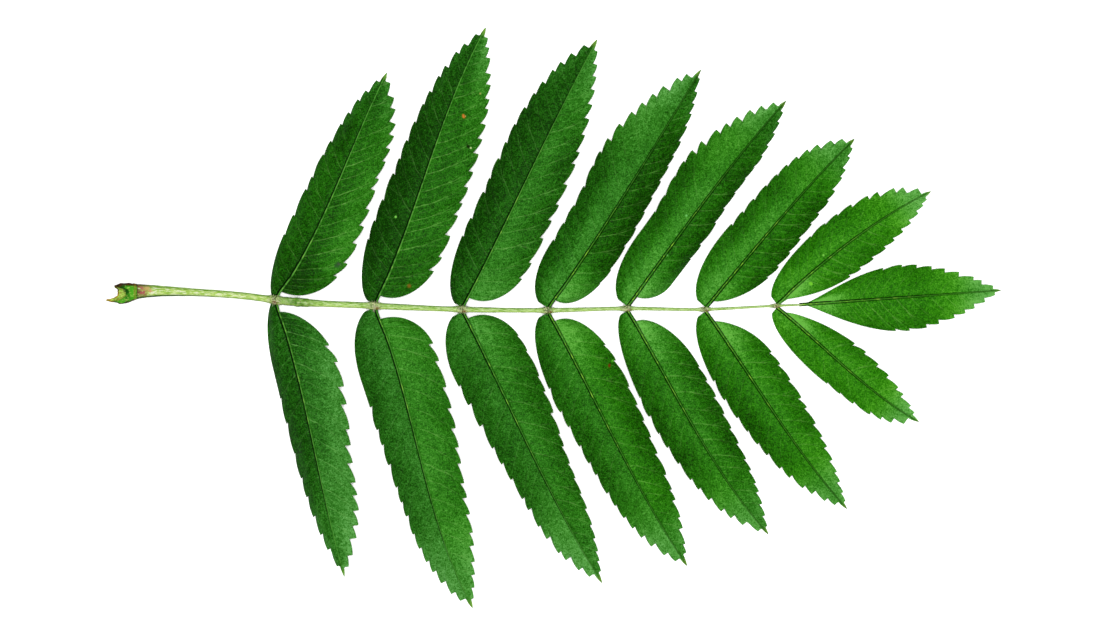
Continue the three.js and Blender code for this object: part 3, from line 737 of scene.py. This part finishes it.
def makeHalf(spec, key, sign, room, draw, flutter):
    # the points of one half in rows from the midrib to the edge: s runs from the foot to the tip and w
    # across to the fore side in mm, t is the share of the length and v that of the row
    length = spec["length"]
    half = {"start": spec.get("start", blade[key + "Start"]), **spec[key]}
    phase, fromS, smoothS, smoothW, edgeS, edgeW = placeRows(spec, half, sign, room, draw)
    fromW = ribOffset(spec, fromS / length)
    v = np.array(blade["columnPlaces"])[None, :]
    ease = smooth(v, 0.7, 1)
    toS = smoothS + (edgeS - smoothS) * ease
    toW = sign * (smoothW + (edgeW - smoothW) * ease)
    s = fromS + (toS - fromS) * (v - blade["veinBend"] * v * (1 - v))
    w = fromW + (toW - fromW) * (v + 0.12 * v * (1 - v))
    t = np.clip(s / length, 0, 1)
    gap = np.abs(w - ribOffset(spec, t))

    # the fall to the edge, the veins, the bulges between them and the unevenness of the edge
    wide = smoothW / half["width"]
    spacing = (1 - half["first"]) / half["teeth"] * length * 0.72
    part = phase - np.round(phase)
    veinPlace = smooth(v, 0, 0.1) * smooth(v, 1, 0.75) * np.minimum(1, wide * 1.5)
    line = hump(np.abs(part) * spacing, 0, 0.2) * veinPlace
    bulge = np.sin(np.pi * v) ** 0.7 * np.minimum(1, wide * 1.3)
    quilt = blade["quilt"] * (0.5 - 0.5 * np.cos(2 * np.pi * part)) * bulge
    first, second = flutter() * 6, flutter() * 6
    wave = np.sin(phase * 1.15 + first) + 0.6 * np.sin(phase * 2.3 + second)
    wave = blade["waves"] * wave * smooth(v, 0.3, 1) * np.minimum(1, wide * 1.5)
    tone, freshness = greenOf(spec, half, t, v)
    ones = np.ones_like(s)
    return {
        "s": s, "w": w, "t": t, "fall": half["drop"] * wide * v ** blade["edgeCurl"],
        "detail": relief(gap, t) - blade["veinDepth"] * line + quilt + wave,
        "lowerDetail": -ridge(gap, t) - blade["veinRidge"] * line + wave + 0.5 * quilt,
        "veinPhase": phase * ones, "across": v * ones, "fromRib": sign * gap,
        "veinSpacing": spacing * ones, "tone": tone, "freshness": freshness,
        "veinShow": blade[key + "Veins"] * (0.7 + 0.4 * spec["pale"]) * ones,
    }


def makeMidrib(spec, half):  # the line between the halves, coloured like the points beside it
    t = np.linspace(blade["foot"] / spec["length"], 1, int(spec["length"] / 0.4))
    t[-1] = 1
    zero = 0 * t
    line = {
        "s": t * spec["length"], "w": ribOffset(spec, t), "t": t, "fall": zero,
        "detail": relief(0, t), "lowerDetail": -ridge(0, t), "across": zero, "fromRib": zero,
        "veinSpacing": zero + 3, "veinShow": zero,
    }
    for key in ("veinPhase", "tone", "freshness"):
        line[key] = np.interp(t, half["t"][:, 0], half[key][:, 0])
    return line


def makeLeaflet(name, spec, joint, row, seed, material):
    draw = randomFrom(seed)
    flutter = randomFrom(seed + 7)
    room = 0 if name == "end" else float(stemRadius(joint[0])) + blade["stemGap"]
    halves = [makeHalf(spec, key, sign, room, draw, flutter) for key, sign in (("fore", 1), ("hind", -1))]
    midrib = makeMidrib(spec, halves[0])
    parts = [midrib, *halves]
    flat = {key: np.concatenate([part[key].ravel() for part in parts]) for key in midrib}
    s, w, t = flat["s"], flat["w"], flat["t"]
    count = len(s)

    # the blade settles until its outer part meets the ground, which its base then rests on too
    restHeight = blade["thickness"] + blade["groundGap"]
    arch = joint[2] + (restHeight - joint[2]) * t + spec["rise"] * 4 * t * (1 - t) - flat["fall"]
    outer = t > blade["restShare"]
    slack = np.min((arch[outer] - restHeight) / t[outer])

    def settle(detail):
        lowest, bend = restHeight - blade["restDip"], blade["restBend"]
        return lowest + bend * np.logaddexp(0, (arch + detail - slack * t - lowest) / bend)

    thick = blade["thickness"] + (blade["edgeThickness"] - blade["thickness"]) * flat["across"] ** 6
    upperZ = settle(flat["detail"])
    lowerZ = np.maximum(settle(flat["lowerDetail"]) - thick, blade["groundGap"])
    lowerZ = np.minimum(lowerZ, upperZ - blade["leastThickness"])
    lean = math.radians(spec["lean"])
    planX = joint[0] + math.cos(lean) * s + math.sin(lean) * w
    planY = joint[1] + row * math.sin(lean) * s + -row * math.cos(lean) * w
    faces, rims = upperFaces(midrib["s"], halves)

    # the underside, and a rounded rim with one ring of points between the two
    rim = [0, *rims[0], len(midrib["s"]) - 1, *rims[1][::-1]]
    middleXY = np.stack([planX[rim], planY[rim]], 1)
    tangent = np.roll(middleXY, -1, 0) - np.roll(middleXY, 1, 0)
    outward = np.stack([tangent[:, 1], -tangent[:, 0]], 1) * -row
    outward /= np.maximum(np.hypot(*outward.T), 1e-6)[:, None]
    middleXY = middleXY + outward * blade["rimReach"]
    middleZ = (upperZ[rim] + lowerZ[rim]) / 2
    faces += [tuple(k + count for k in face) for face in faces]
    for k, a in enumerate(rim):
        following = (k + 1) % len(rim)
        b = rim[following]
        middleA, middleB = 2 * count + k, 2 * count + following
        faces += [(a, b, middleB, middleA), (middleA, middleB, b + count, a + count)]
    points = np.concatenate([
        np.stack([planX, planY, upperZ], 1),
        np.stack([planX, planY, lowerZ], 1),
        np.column_stack([middleXY, middleZ]),
    ])
    keys = ("veinPhase", "across", "fromRib", "veinSpacing", "tone", "freshness", "veinShow", "t")
    values = {key: np.concatenate([flat[key], flat[key], flat[key][rim]]) for key in keys}
    along = values.pop("t")
    values["underside"] = np.concatenate([np.zeros(count), np.ones(count), np.full(len(rim), 0.15)])
    values["ribPale"] = np.full(len(along), spec["pale"])
    # how strong the painted shade in the midrib's grooves is
    values["grooveShadeStrength"] = (1 - along) ** 0.15 * (1 - 0.9 * spec["pale"] * smooth(along, 0.7, 0.86))
    values["ribWidth"] = 1 - 0.65 * along
    makePiece("blade_" + name, points, faces, material, values, ["leaflet_" + name])


bladeMaterial = makeBladeMaterial()
for name, spec in leaflets.items():
    if name == "end":
        joint = (endX, leaf["endSway"], float(stemHeight(endX)))
        makeLeaflet(name, spec, joint, 1, 900, bladeMaterial)
        continue
    side, number = name.split("_")
    pair = int(number) - 1
    joint = (pairX[pair], leaf["pairSway"][pair], float(stemHeight(pairX[pair])))
    row, seed = (1, 1) if side == "left" else (-1, 2)
    makeLeaflet(name, spec, joint, row, 100 * (pair + 1) + seed, bladeMaterial)
print("leaflets made")


# stem and stalk

stem = {
    "from": -30.7,
    "to": endX + 2.5,
    "step": 0.25,
    "sides": 32,
    "groove": 0.2,  # along the upper side, as a share of the radius
    "grooveSpread": 0.42,  # in radians
    "grooveStart": (-24, -4),  # where along the stalk it comes in
    "jointSide": 0.27,  # swelling at each pair
    "jointUp": 0.2,
    "jointSpread": 1.7,
    "axils": [-0.1, 0.7, 0.6, 0.8, 0.7, 0.7, 0.6],  # brown specks, along from each pair
    "afterJoint": 0.08,  # a fuller stretch beyond each pair
    "knee": 0.26,  # the lumpy stretch beyond the first pair, as a share
    "kneePlace": 5.2,
    "kneeSpread": 2.9,
    "unevenness": 0.035,
    "stalkPale": seen(206, 234, 128),
    "stalkGreen": seen(144, 192, 62),
    "pale": seen(190, 228, 128),
    "green": seen(118, 170, 54),
    "sideGreen": seen(100, 150, 44),  # along the +Y side
    "sideYellow": seen(204, 234, 112),  # and along the other
    # darkGreen is painted shade along the -Y edge of the stalk
    "darkGreen": seen(34, 84, 10),
    # whitish painted glints along the top
    "fleck": seen(250, 254, 224),
    "kneeGreen": seen(74, 132, 30),
    "kneeBrown": seen(116, 104, 58),
    "joint": seen(212, 208, 164),
    "jointDark": seen(58, 76, 24),
    "axil": seen(122, 62, 26),
    "bark": seen(92, 70, 42),
    "spots": [  # red and brown, where the stalk meets the foot
        (-30.5, 2.1, 1.7, seen(124, 108, 66)),
        (-30.0, 1.2, 1.3, seen(146, 140, 74)),
        (-29.2, 2.4, 1.1, seen(176, 164, 92)),
        (-30.4, 2.9, 0.6, seen(166, 94, 84)),
        (-29.6, 2.75, 0.5, seen(182, 114, 98)),
        (-30.2, 1.75, 0.45, seen(112, 76, 60)),
        (-29.5, 1.65, 0.55, seen(178, 94, 92)),
        (-28.4, 2.6, 0.5, seen(206, 180, 108)),
        (-27.7, 2.0, 0.6, seen(210, 172, 114)),
    ],
}


def makeStem():
    draw = randomFrom(31)
    x = np.arange(stem["from"], stem["to"], stem["step"])
    turn = np.linspace(0, 2 * np.pi, stem["sides"], endpoint=False)
    radius = stemRadius(x)
    radius = radius * smooth(x, stem["to"] + 0.3, endX - 0.5) ** 0.5  # runs out into the end leaflet
    waves = sum(np.sin(x * pace + draw() * 6) for pace in (0.45, 0.83, 1.9)) / 3
    radius = radius * (1 + stem["unevenness"] * waves)
    nearJoint = np.zeros_like(x)
    axil = np.zeros_like(x)
    for k, place in enumerate(pairX):
        nearJoint = np.maximum(nearJoint, hump(x, place, stem["jointSpread"] * (1 - 0.06 * k)))
        axil = np.maximum(axil, hump(x, place + stem["axils"][k], 0.45))
        radius = radius * (1 + stem["afterJoint"] * hump(x, place + 5.5, 2.6) * (1 - 0.1 * k))
    knee = hump(x, stem["kneePlace"], stem["kneeSpread"]) ** 0.8
    lumps = 1 + 0.25 * np.sin(x * 2.9) + 0.15 * np.sin(x * 5.3 + 1)
    radius = radius * (1 + stem["knee"] * knee * lumps)
    swellSide = radius + stem["jointSide"] * nearJoint
    swellUp = radius + stem["jointUp"] * nearJoint
    fromTop = np.abs(turn - np.pi / 2)
    fromTop = np.minimum(fromTop, 2 * np.pi - fromTop)
    rings, sides = len(x), len(turn)
    flat = smooth(x, *stem["grooveStart"])

    def overStem(along, around):  # numbers along the stem times numbers round it
        return np.reshape(along, (-1, 1)) * np.reshape(around, (1, -1)) * np.ones((rings, sides))

    groove = stem["groove"] * flat * (1 - 0.6 * nearJoint)
    shape = 1 - overStem(groove, hump(fromTop, 0, stem["grooveSpread"]))
    shape = shape + 0.05 * overStem(flat, hump(fromTop, 0.8, 0.3)) + 0.012 * np.sin(turn * 9)
    y = stemSway(x)[:, None] + overStem(swellSide, np.cos(turn)) * shape
    z = np.maximum(stemHeight(x), radius + 0.02)[:, None] + overStem(swellUp, np.sin(turn)) * shape
    points = np.stack([overStem(x, 1), y, z], 2).reshape(-1, 3)
    faces = joinRings(rings, sides)
    faces += [tuple(range(start, start + sides)) for start in (0, (rings - 1) * sides)]
    values = {
        "lengthwise": overStem(x, 1),
        "sideways": overStem(1, np.cos(turn)),
        "upward": overStem(1, np.sin(turn)),
        "nearJoint": overStem(nearJoint ** 2, 1),
        "knee": overStem(knee, 1),
        "axil": overStem(axil, hump(np.cos(turn), -0.55, 0.35)),
    }
    values = {key: value.ravel() for key, value in values.items()}
    pairs = len(pairX)
    nodes = ["stalk", "end_stalk", *(f"stem_{k}" for k in range(1, pairs))]
    nodes += [f"stem_joint_{k + 1}" for k in range(pairs)]
    makePiece("stem", points, faces, makeStemMaterial(), values, nodes)


def makeStemMaterial():
    material, tree, shader, place = newMaterial("stemSkin", 0.45, 0.015)
    lengthwise, sideways, upward = (attribute(tree, key) for key in ("lengthwise", "sideways", "upward"))

    def stretched(along, around, scale):  # noise drawn out along the stem
        return noise(combine(lengthwise * along, sideways * around, upward * around), scale, 3, 0.6)

    streaks = stretched(0.35, 3.2, 1.6)
    threads = stretched(0.9, 3.4, 1.1)
    blotches = noise(place, 1000, 3)
    specks = noise(place, 2600, 2)

    # pale along the top, a painted highlight with the stem's own pale streaks in it, and green to the
    # sides, yellower on the stalk than on the stem
    onStem = ramp(lengthwise, -2.5, 1.5)
    paleness = ramp(upward, 0.25, 0.9, 0, 0.75) + ramp(streaks, 0.38, 0.62, -0.45, 0.45)
    paleness = paleness + ramp(threads, 0.38, 0.62, -0.45, 0.4)
    color = mixColors(ramp(paleness, 0, 1), paint(stem["stalkGreen"], stem, green=onStem),
                      paint(stem["stalkPale"], stem, pale=onStem))
    # whitish streaks along the top are painted glints
    bright = ramp(threads, 0.5, 0.6) * ramp(upward, 0.5, 0.9) * ramp(lengthwise, -4, -10, 0.4, 0.85)
    yellow = ramp(sideways, -0.3, -0.8) * ramp(threads, 0.35, 0.6, 0.2, 0.8) * onStem
    # darker green along the -Y edge, mostly on the stalk, is painted shade
    low = ramp(sideways, -0.55, -0.92) * ramp(lengthwise, -8, -24, 0.25, 1)
    color = paint(color, stem, fleck=bright,
                  sideGreen=ramp(sideways, 0.1, 0.85) * ramp(streaks, 0.3, 0.6, 0.9, 0.45),
                  sideYellow=yellow, darkGreen=low * ramp(lengthwise, 0, -4, 0.2, 1))

    # the darker, mottled knee, and downy joints with brown corners
    knee, near = attribute(tree, "knee"), attribute(tree, "nearJoint")
    color = paint(color, stem, kneeGreen=knee * ramp(blotches, 0.34, 0.62, 0.3, 1),
                  kneeBrown=knee * ramp(specks, 0.58, 0.68, 0, 0.8),
                  joint=near * ramp(specks, 0.48, 0.6, 0.05, 0.8),
                  jointDark=near * ramp(specks, 0.53, 0.45, 0, 0.9),
                  axil=attribute(tree, "axil") * ramp(blotches, 0.3, 0.5, 0.4, 1))

    # the foot of the stalk, spotted and turning to bark, which runs on along its top edge
    color = addSpots(color, place, (specks - 0.5) * 1.4 + blotches, stem["spots"], 0.55)
    color = paint(color, stem, bark=ramp(lengthwise + specks * 2, -29.1, -30, 0, 0.85))
    topEdge = ramp(sideways, 0.6, 0.85) * ramp(lengthwise, -26.5, -29.5)
    color = paint(color, stem, bark=topEdge * 0.8)
    feed(shader, "Base Color", color)
    addBump(shader, streaks + threads + blotches * 0.4, 0.5, 0.0001)
    return material


makeStem()
print("stem made")


# the torn foot

foot = {
    "sides": 96,
    # x, sway, half-width and half-height of the outer skin, from the stalk to the torn rim
    "outer": [(-30.2, 1.9, 1.5, 1.3), (-30.6, 1.9, 1.62, 1.36), (-31.1, 1.88, 1.72, 1.4),
              (-31.7, 1.82, 1.86, 1.44), (-32.4, 1.7, 2.05, 1.5), (-33.2, 1.58, 2.2, 1.5),
              (-34, 1.47, 2.3, 1.48), (-35, 1.38, 2.24, 1.42), (-35.9, 1.45, 1.98, 1.36)],
    "skinWall": 0.12,  # how far the skin turns in at the rim
    "wall": 0.4,
    "hollowEnd": -33.1,  # how far in the hollow goes
    "topCut": 2.6,  # how far the rim is torn back on top
    "ragged": 0.22,
    "lumps": 0.024,
    "shredReach": 2.1,
    "shredTurn": 207,  # in degrees round from the +Y side
    "shredSpread": 25,
    "skinRings": 40,
    "rimRings": 3,
    "hollowRings": 18,
    "sliverSides": 5,
    "slivers": 26,  # torn fibres that stand out of the rim
    "sliverLength": 0.75,
    "sliverRadius": 0.07,
    "sliverRoot": 0.12,  # how deep they stand in it
    "skin": seen(78, 176, 30),
    # skinDark gives both the skin's own dark patches and the painted shadow of the torn rim
    "skinDark": seen(20, 84, 8),
    "flesh": seen(220, 244, 122),
    "fleshGreen": seen(150, 204, 58),
    # painted shadow deep in the hollow under the +Y side
    "fleshDeep": seen(16, 70, 12),
    "rim": seen(84, 50, 20),
    "rimDark": seen(40, 30, 18),
    "scar": seen(150, 128, 44),
    "shred": seen(206, 150, 16),
}


def makeFoot():
    draw = randomFrom(57)
    sides = foot["sides"]
    turn = np.linspace(0, 2 * np.pi, sides, endpoint=False)
    degrees = np.degrees(turn)
    outer = np.array(foot["outer"])[::-1]  # rising x for the interpolation
    middleHeight = outer[:, 3].max()
    away = (degrees - foot["shredTurn"] + 180) % 360 - 180
    fromTop = np.abs((degrees - 90 + 180) % 360 - 180)
    ragged = sum(np.sin(turn * pace + draw() * 6) for pace in (4, 7, 11, 17, 29)) / 5
    rimX = outer[0, 0] + foot["topCut"] * smooth(fromTop, 66, 14) + foot["ragged"] * ragged
    rimX = rimX - foot["shredReach"] * hump(away, 0, foot["shredSpread"])
    rimX = rimX + 0.5 * smooth(fromTop, 100, 180)
    lumpPhases = [draw() * 6 for _ in range(4)]
    rings, marks = [], []

    def addRing(x, inset, inside, rim, depth, lumps=1.0):  # inside, rim and depth are for the material
        sway, side, up = (np.interp(x, outer[:, 0], outer[:, k]) for k in (1, 2, 3))
        paces = ((7, 1.3, 1), (12, -2.1, 1), (4, 3.7, 1), (21, 0, 0.5))  # round, along, share
        pucker = sum(np.sin(turn * around + x * along + late) * share
                     for (around, along, share), late in zip(paces, lumpPhases))
        pucker = 1 + foot["lumps"] * lumps * pucker * smooth(x, -30.6, -32)
        y = sway + np.maximum(side - inset, 0.02) * pucker * np.cos(turn)
        z = middleHeight + np.maximum(up - inset, 0.02) * pucker * np.sin(turn)
        rings.append(np.stack([x * np.ones(sides), y, np.maximum(z, 0.02)], 1))
        marks.append((inside, rim, depth))

    for share in np.linspace(0, 1, foot["skinRings"]):  # the skin, from the stalk to the rim
        x = outer[-1, 0] + (rimX - outer[-1, 0]) * share
        addRing(x, foot["skinWall"] * share ** 8, 0, smooth(share, 0.5, 1), 0)
    for out in np.linspace(0, 1, foot["rimRings"] + 2)[1:-1]:  # over the rim
        inset = foot["skinWall"] + (foot["wall"] - foot["skinWall"]) * out
        addRing(rimX - 0.06 * math.sin(math.pi * out), inset, out, 1, 0)
    for share in np.linspace(0, 1, foot["hollowRings"]):  # down the hollow, its wall drawn into fibres
        x = rimX + (np.maximum(foot["hollowEnd"], rimX + 0.25) - rimX) * share
        addRing(x, foot["wall"] + 0.9 * share ** 2.2, 1, smooth(share, 0.26, 0.05), share, 2.2)
    points = np.concatenate(rings)
    faces = joinRings(len(rings), sides)
    for ringStart in (0, (len(rings) - 1) * sides):  # a fan closes each end
        middle = points[ringStart:ringStart + sides].mean(0)
        points = np.vstack([points, middle])
        for k in range(sides):
            faces.append((ringStart + k, ringStart + (k + 1) % sides, len(points) - 1))
    inside, rimTone, depth = (list(np.repeat(shares, sides)) for shares in zip(*marks))
    inside, rimTone, depth = [*inside, 0, 1], [*rimTone, 0, 0], [*depth, 0, 1]
    sideways = [*np.tile(np.cos(turn), len(rings)), 0, 0]

    # torn fibres: thin spikes rooted in the rim
    points = list(points)
    rimRing = rings[foot["skinRings"] + foot["rimRings"] // 2]
    spikeSides = foot["sliverSides"]
    for _ in range(foot["slivers"]):
        at = int(draw() * sides)
        root = rimRing[at] + np.array([foot["sliverRoot"], 0, 0])
        reach = foot["sliverLength"] * (0.3 + 0.7 * draw())
        way = unit(np.array([-1, (draw() - 0.5) * 0.9, (draw() - 0.35) * 0.5]))
        side = unit(np.cross(way, [0, 0, 1]))
        ring = circle(root, side, np.cross(way, side), foot["sliverRadius"], spikeSides)
        tip = root + way * reach
        for point, least in (*((point, 0.02) for point in ring), (tip, 0.03)):
            point[2] = max(point[2], least)
        addSpike(points, faces, [ring], tip)
        inside += [0.5] * (spikeSides + 1)
        rimTone += [0.9] * spikeSides + [0.5]
        depth += [0] * (spikeSides + 1)
        sideways += [math.cos(turn[at])] * (spikeSides + 1)
    points = np.array(points)
    values = {"inside": inside, "rimTone": rimTone, "depth": depth, "lengthwise": points[:, 0],
              "sideways": sideways}
    makePiece("tornFoot", points, faces, makeFootMaterial(), values, ["torn_foot"])


def makeFootMaterial():
    material, tree, shader, place = newMaterial("footSkin", 0.5, 0.02)
    keys = ("inside", "rimTone", "depth", "lengthwise", "sideways")
    inside, rimTone, depth, lengthwise, sideways = (attribute(tree, key) for key in keys)
    fibres = noise(combine(lengthwise * 0.7, sideways * 5), 2.2, 4, 0.6)
    blotches = noise(place, 800, 3)
    specks = noise(place, 2600, 2)
    waver = blotches * 1.6 - 0.8

    # the skin: bright green, darker in patches, darker towards the torn rim by painted shadow of the rim,
    # and bark at its edges
    # painted shadow of the torn rim on the skin, stronger on the +Y side
    rimShadow = ramp(rimTone + waver, 0.55, 0.95) * ramp(sideways, -0.5, 0.1, 0.35, 1)
    skin = paint(foot["skin"], foot, skinDark=ramp(blotches, 0.5, 0.72, 0, 0.6),
                 flesh=ramp(specks, 0.5, 0.7, 0, 0.5))
    skin = paint(skin, foot, skinDark=rimShadow)
    bark = paint(foot["rimDark"], foot, rim=ramp(specks, 0.4, 0.6))
    edges = larger(ramp(sideways, 0.6, 0.85), ramp(sideways, -0.86, -0.98))
    scarX = lengthwise + waver * 0.4
    scar = ramp(scarX, -31.7, -31.35) * ramp(scarX, -30.9, -31.2)
    skin = paint(mixColors(edges, skin, bark), foot, scar=scar * 0.5)
    skin = mixColors(ramp(scarX, -31, -30.7, 0, 0.8), skin, bark)

    # the torn hollow: pale fibres, deep green painted shadow where it goes in under the +Y side
    flesh = paint(foot["fleshGreen"], foot, flesh=ramp(fibres, 0.38, 0.62),
                  scar=ramp(specks, 0.58, 0.68, 0, 0.7),
                  fleshDeep=ramp(depth + sideways * 0.45 + waver, 0.75, 1.15))
    torn = paint(foot["rim"], foot, shred=ramp(sideways, 0.5, -0.3), rimDark=ramp(specks, 0.54, 0.68))
    color = mixColors(ramp(inside, 0.3, 0.7), skin, flesh)
    color = mixColors(ramp(rimTone, 0.55, 1) * inside, color, torn)
    feed(shader, "Base Color", color)
    addBump(shader, fibres + blotches, 0.7, 0.0002)
    return material


makeFoot()
print("torn foot made")


# down at the joints

down = {
    "hairs": 60,  # at the first joint, fewer further on
    "length": 0.95,
    "radius": 0.035,
    "sides": 3,
    "root": seen(150, 150, 106),
    "tip": seen(244, 240, 214),
}


def makeDown():
    draw = randomFrom(83)
    points, faces, tone = [], [], []
    for pair, x in enumerate(pairX):
        size = 1 - 0.07 * pair
        for _ in range(int(down["hairs"] * size)):
            along = (draw() + draw() + draw() - 1.5) * 1.7 * size
            turn = math.pi * (0.5 + (draw() - 0.5) * 0.8)
            px = x + along
            radius = float(stemRadius(px))
            near = float(hump(px, x, stem["jointSpread"]))
            side = (radius + stem["jointSide"] * near) * 0.97
            up = (radius + stem["jointUp"] * near) * 0.93
            root = np.array([px, float(stemSway(px)) + side * math.cos(turn),
                             float(stemHeight(px)) + up * math.sin(turn)])
            way = unit(np.array([(draw() - 0.5) * 2.2, 0.5 * math.cos(turn) + (draw() - 0.5) * 1.6,
                                 math.sin(turn) * 0.35 + 0.3 * draw()]))
            bend = np.array([draw() - 0.5, draw() - 0.5, -0.4 * draw()])
            long = down["length"] * (0.4 + 0.6 * draw()) * size
            across = unit(np.cross(way, [0.3, 0.2, 1]))
            rings = []
            for share in (0, 1 / 3, 2 / 3):
                centre = root + way * long * share + bend * long * 0.5 * share ** 2
                width = down["radius"] * (1 - 0.5 * share)
                rings.append(circle(centre, across, np.cross(way, across), width, down["sides"]))
                tone += [share] * down["sides"]
            addSpike(points, faces, rings, root + way * long + bend * long * 0.5)
            tone.append(1)
    material, tree, shader, place = newMaterial("down", 0.7, 0.2)
    share = attribute(tree, "toTip") + ramp(noise(place, 2400, 1), 0.3, 0.7, -0.3, 0.3)
    feed(shader, "Base Color", mixColors(share, down["root"], down["tip"]))
    makePiece("jointDown", np.array(points), faces, material, {"toTip": tone}, [])


makeDown()
print("down made")


# floor, light and camera

studio = {
    "floor": 0.94,
    "floorSize": 3.0,
    "world": 0.3,  # shares of the light level
    "lamp": 0.7,
    "lampSize": 0.5,
    "lampPlace": (0, 0.01, 1.1),
    "view": (62.55, -2.69),  # the plan point that the camera looks down at
    "viewWidth": 248.9,
    "lens": 100,
}


def makeStudio():
    half = studio["floorSize"] / 2
    mesh = bpy.data.meshes.new("floor")
    corners = [(-half, -half, 0), (half, -half, 0), (half, half, 0), (-half, half, 0)]
    mesh.from_pydata(corners, [], [(0, 1, 2, 3)])
    material, _, shader, place = newMaterial("paper", 0.8, 0.1)
    pale, paler = ((light, light, light, 1) for light in (studio["floor"] - 0.01, studio["floor"]))
    feed(shader, "Base Color", mixColors(noise(place, 900, 3), pale, paler))
    mesh.materials.append(material)
    floor = addObject("floor", mesh)
    floor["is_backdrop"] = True

    world = bpy.data.worlds.new("softRoom")
    world.use_nodes = True
    background = world.node_tree.nodes["Background"]
    feed(background, "Color", (1, 1, 1, 1))
    feed(background, "Strength", studio["world"] * lightLevel)
    bpy.context.scene.world = world

    lamp = bpy.data.lights.new("softBox", "AREA")
    lamp.shape = "SQUARE"
    lamp.size = studio["lampSize"]
    x, y, z = studio["lampPlace"]
    lamp.energy = studio["lamp"] * lightLevel * math.pi ** 2 * (x * x + y * y + z * z)
    lampHolder = addObject("softBox", lamp)
    lampHolder.location = studio["lampPlace"]
    lampHolder.rotation_euler = (-math.atan2(y, z), math.atan2(x, z), 0)

    camera = bpy.data.cameras.new("camera")
    camera.lens = studio["lens"]
    camera.clip_start = 0.01
    holder = addObject("camera", camera)
    away = studio["viewWidth"] * mm * camera.lens / camera.sensor_width
    aimX, aimY = (aim + first for aim, first in zip(studio["view"], leaf["firstPair"]))
    holder.location = (aimX * mm, aimY * mm, away)
    bpy.context.scene.camera = holder
    bpy.context.scene.view_settings.view_transform = "Standard"


makeStudio()
print("studio made")

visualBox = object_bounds()
{"cad": [list(corner) for corner in cadBox], "visual": [list(corner) for corner in visualBox]}
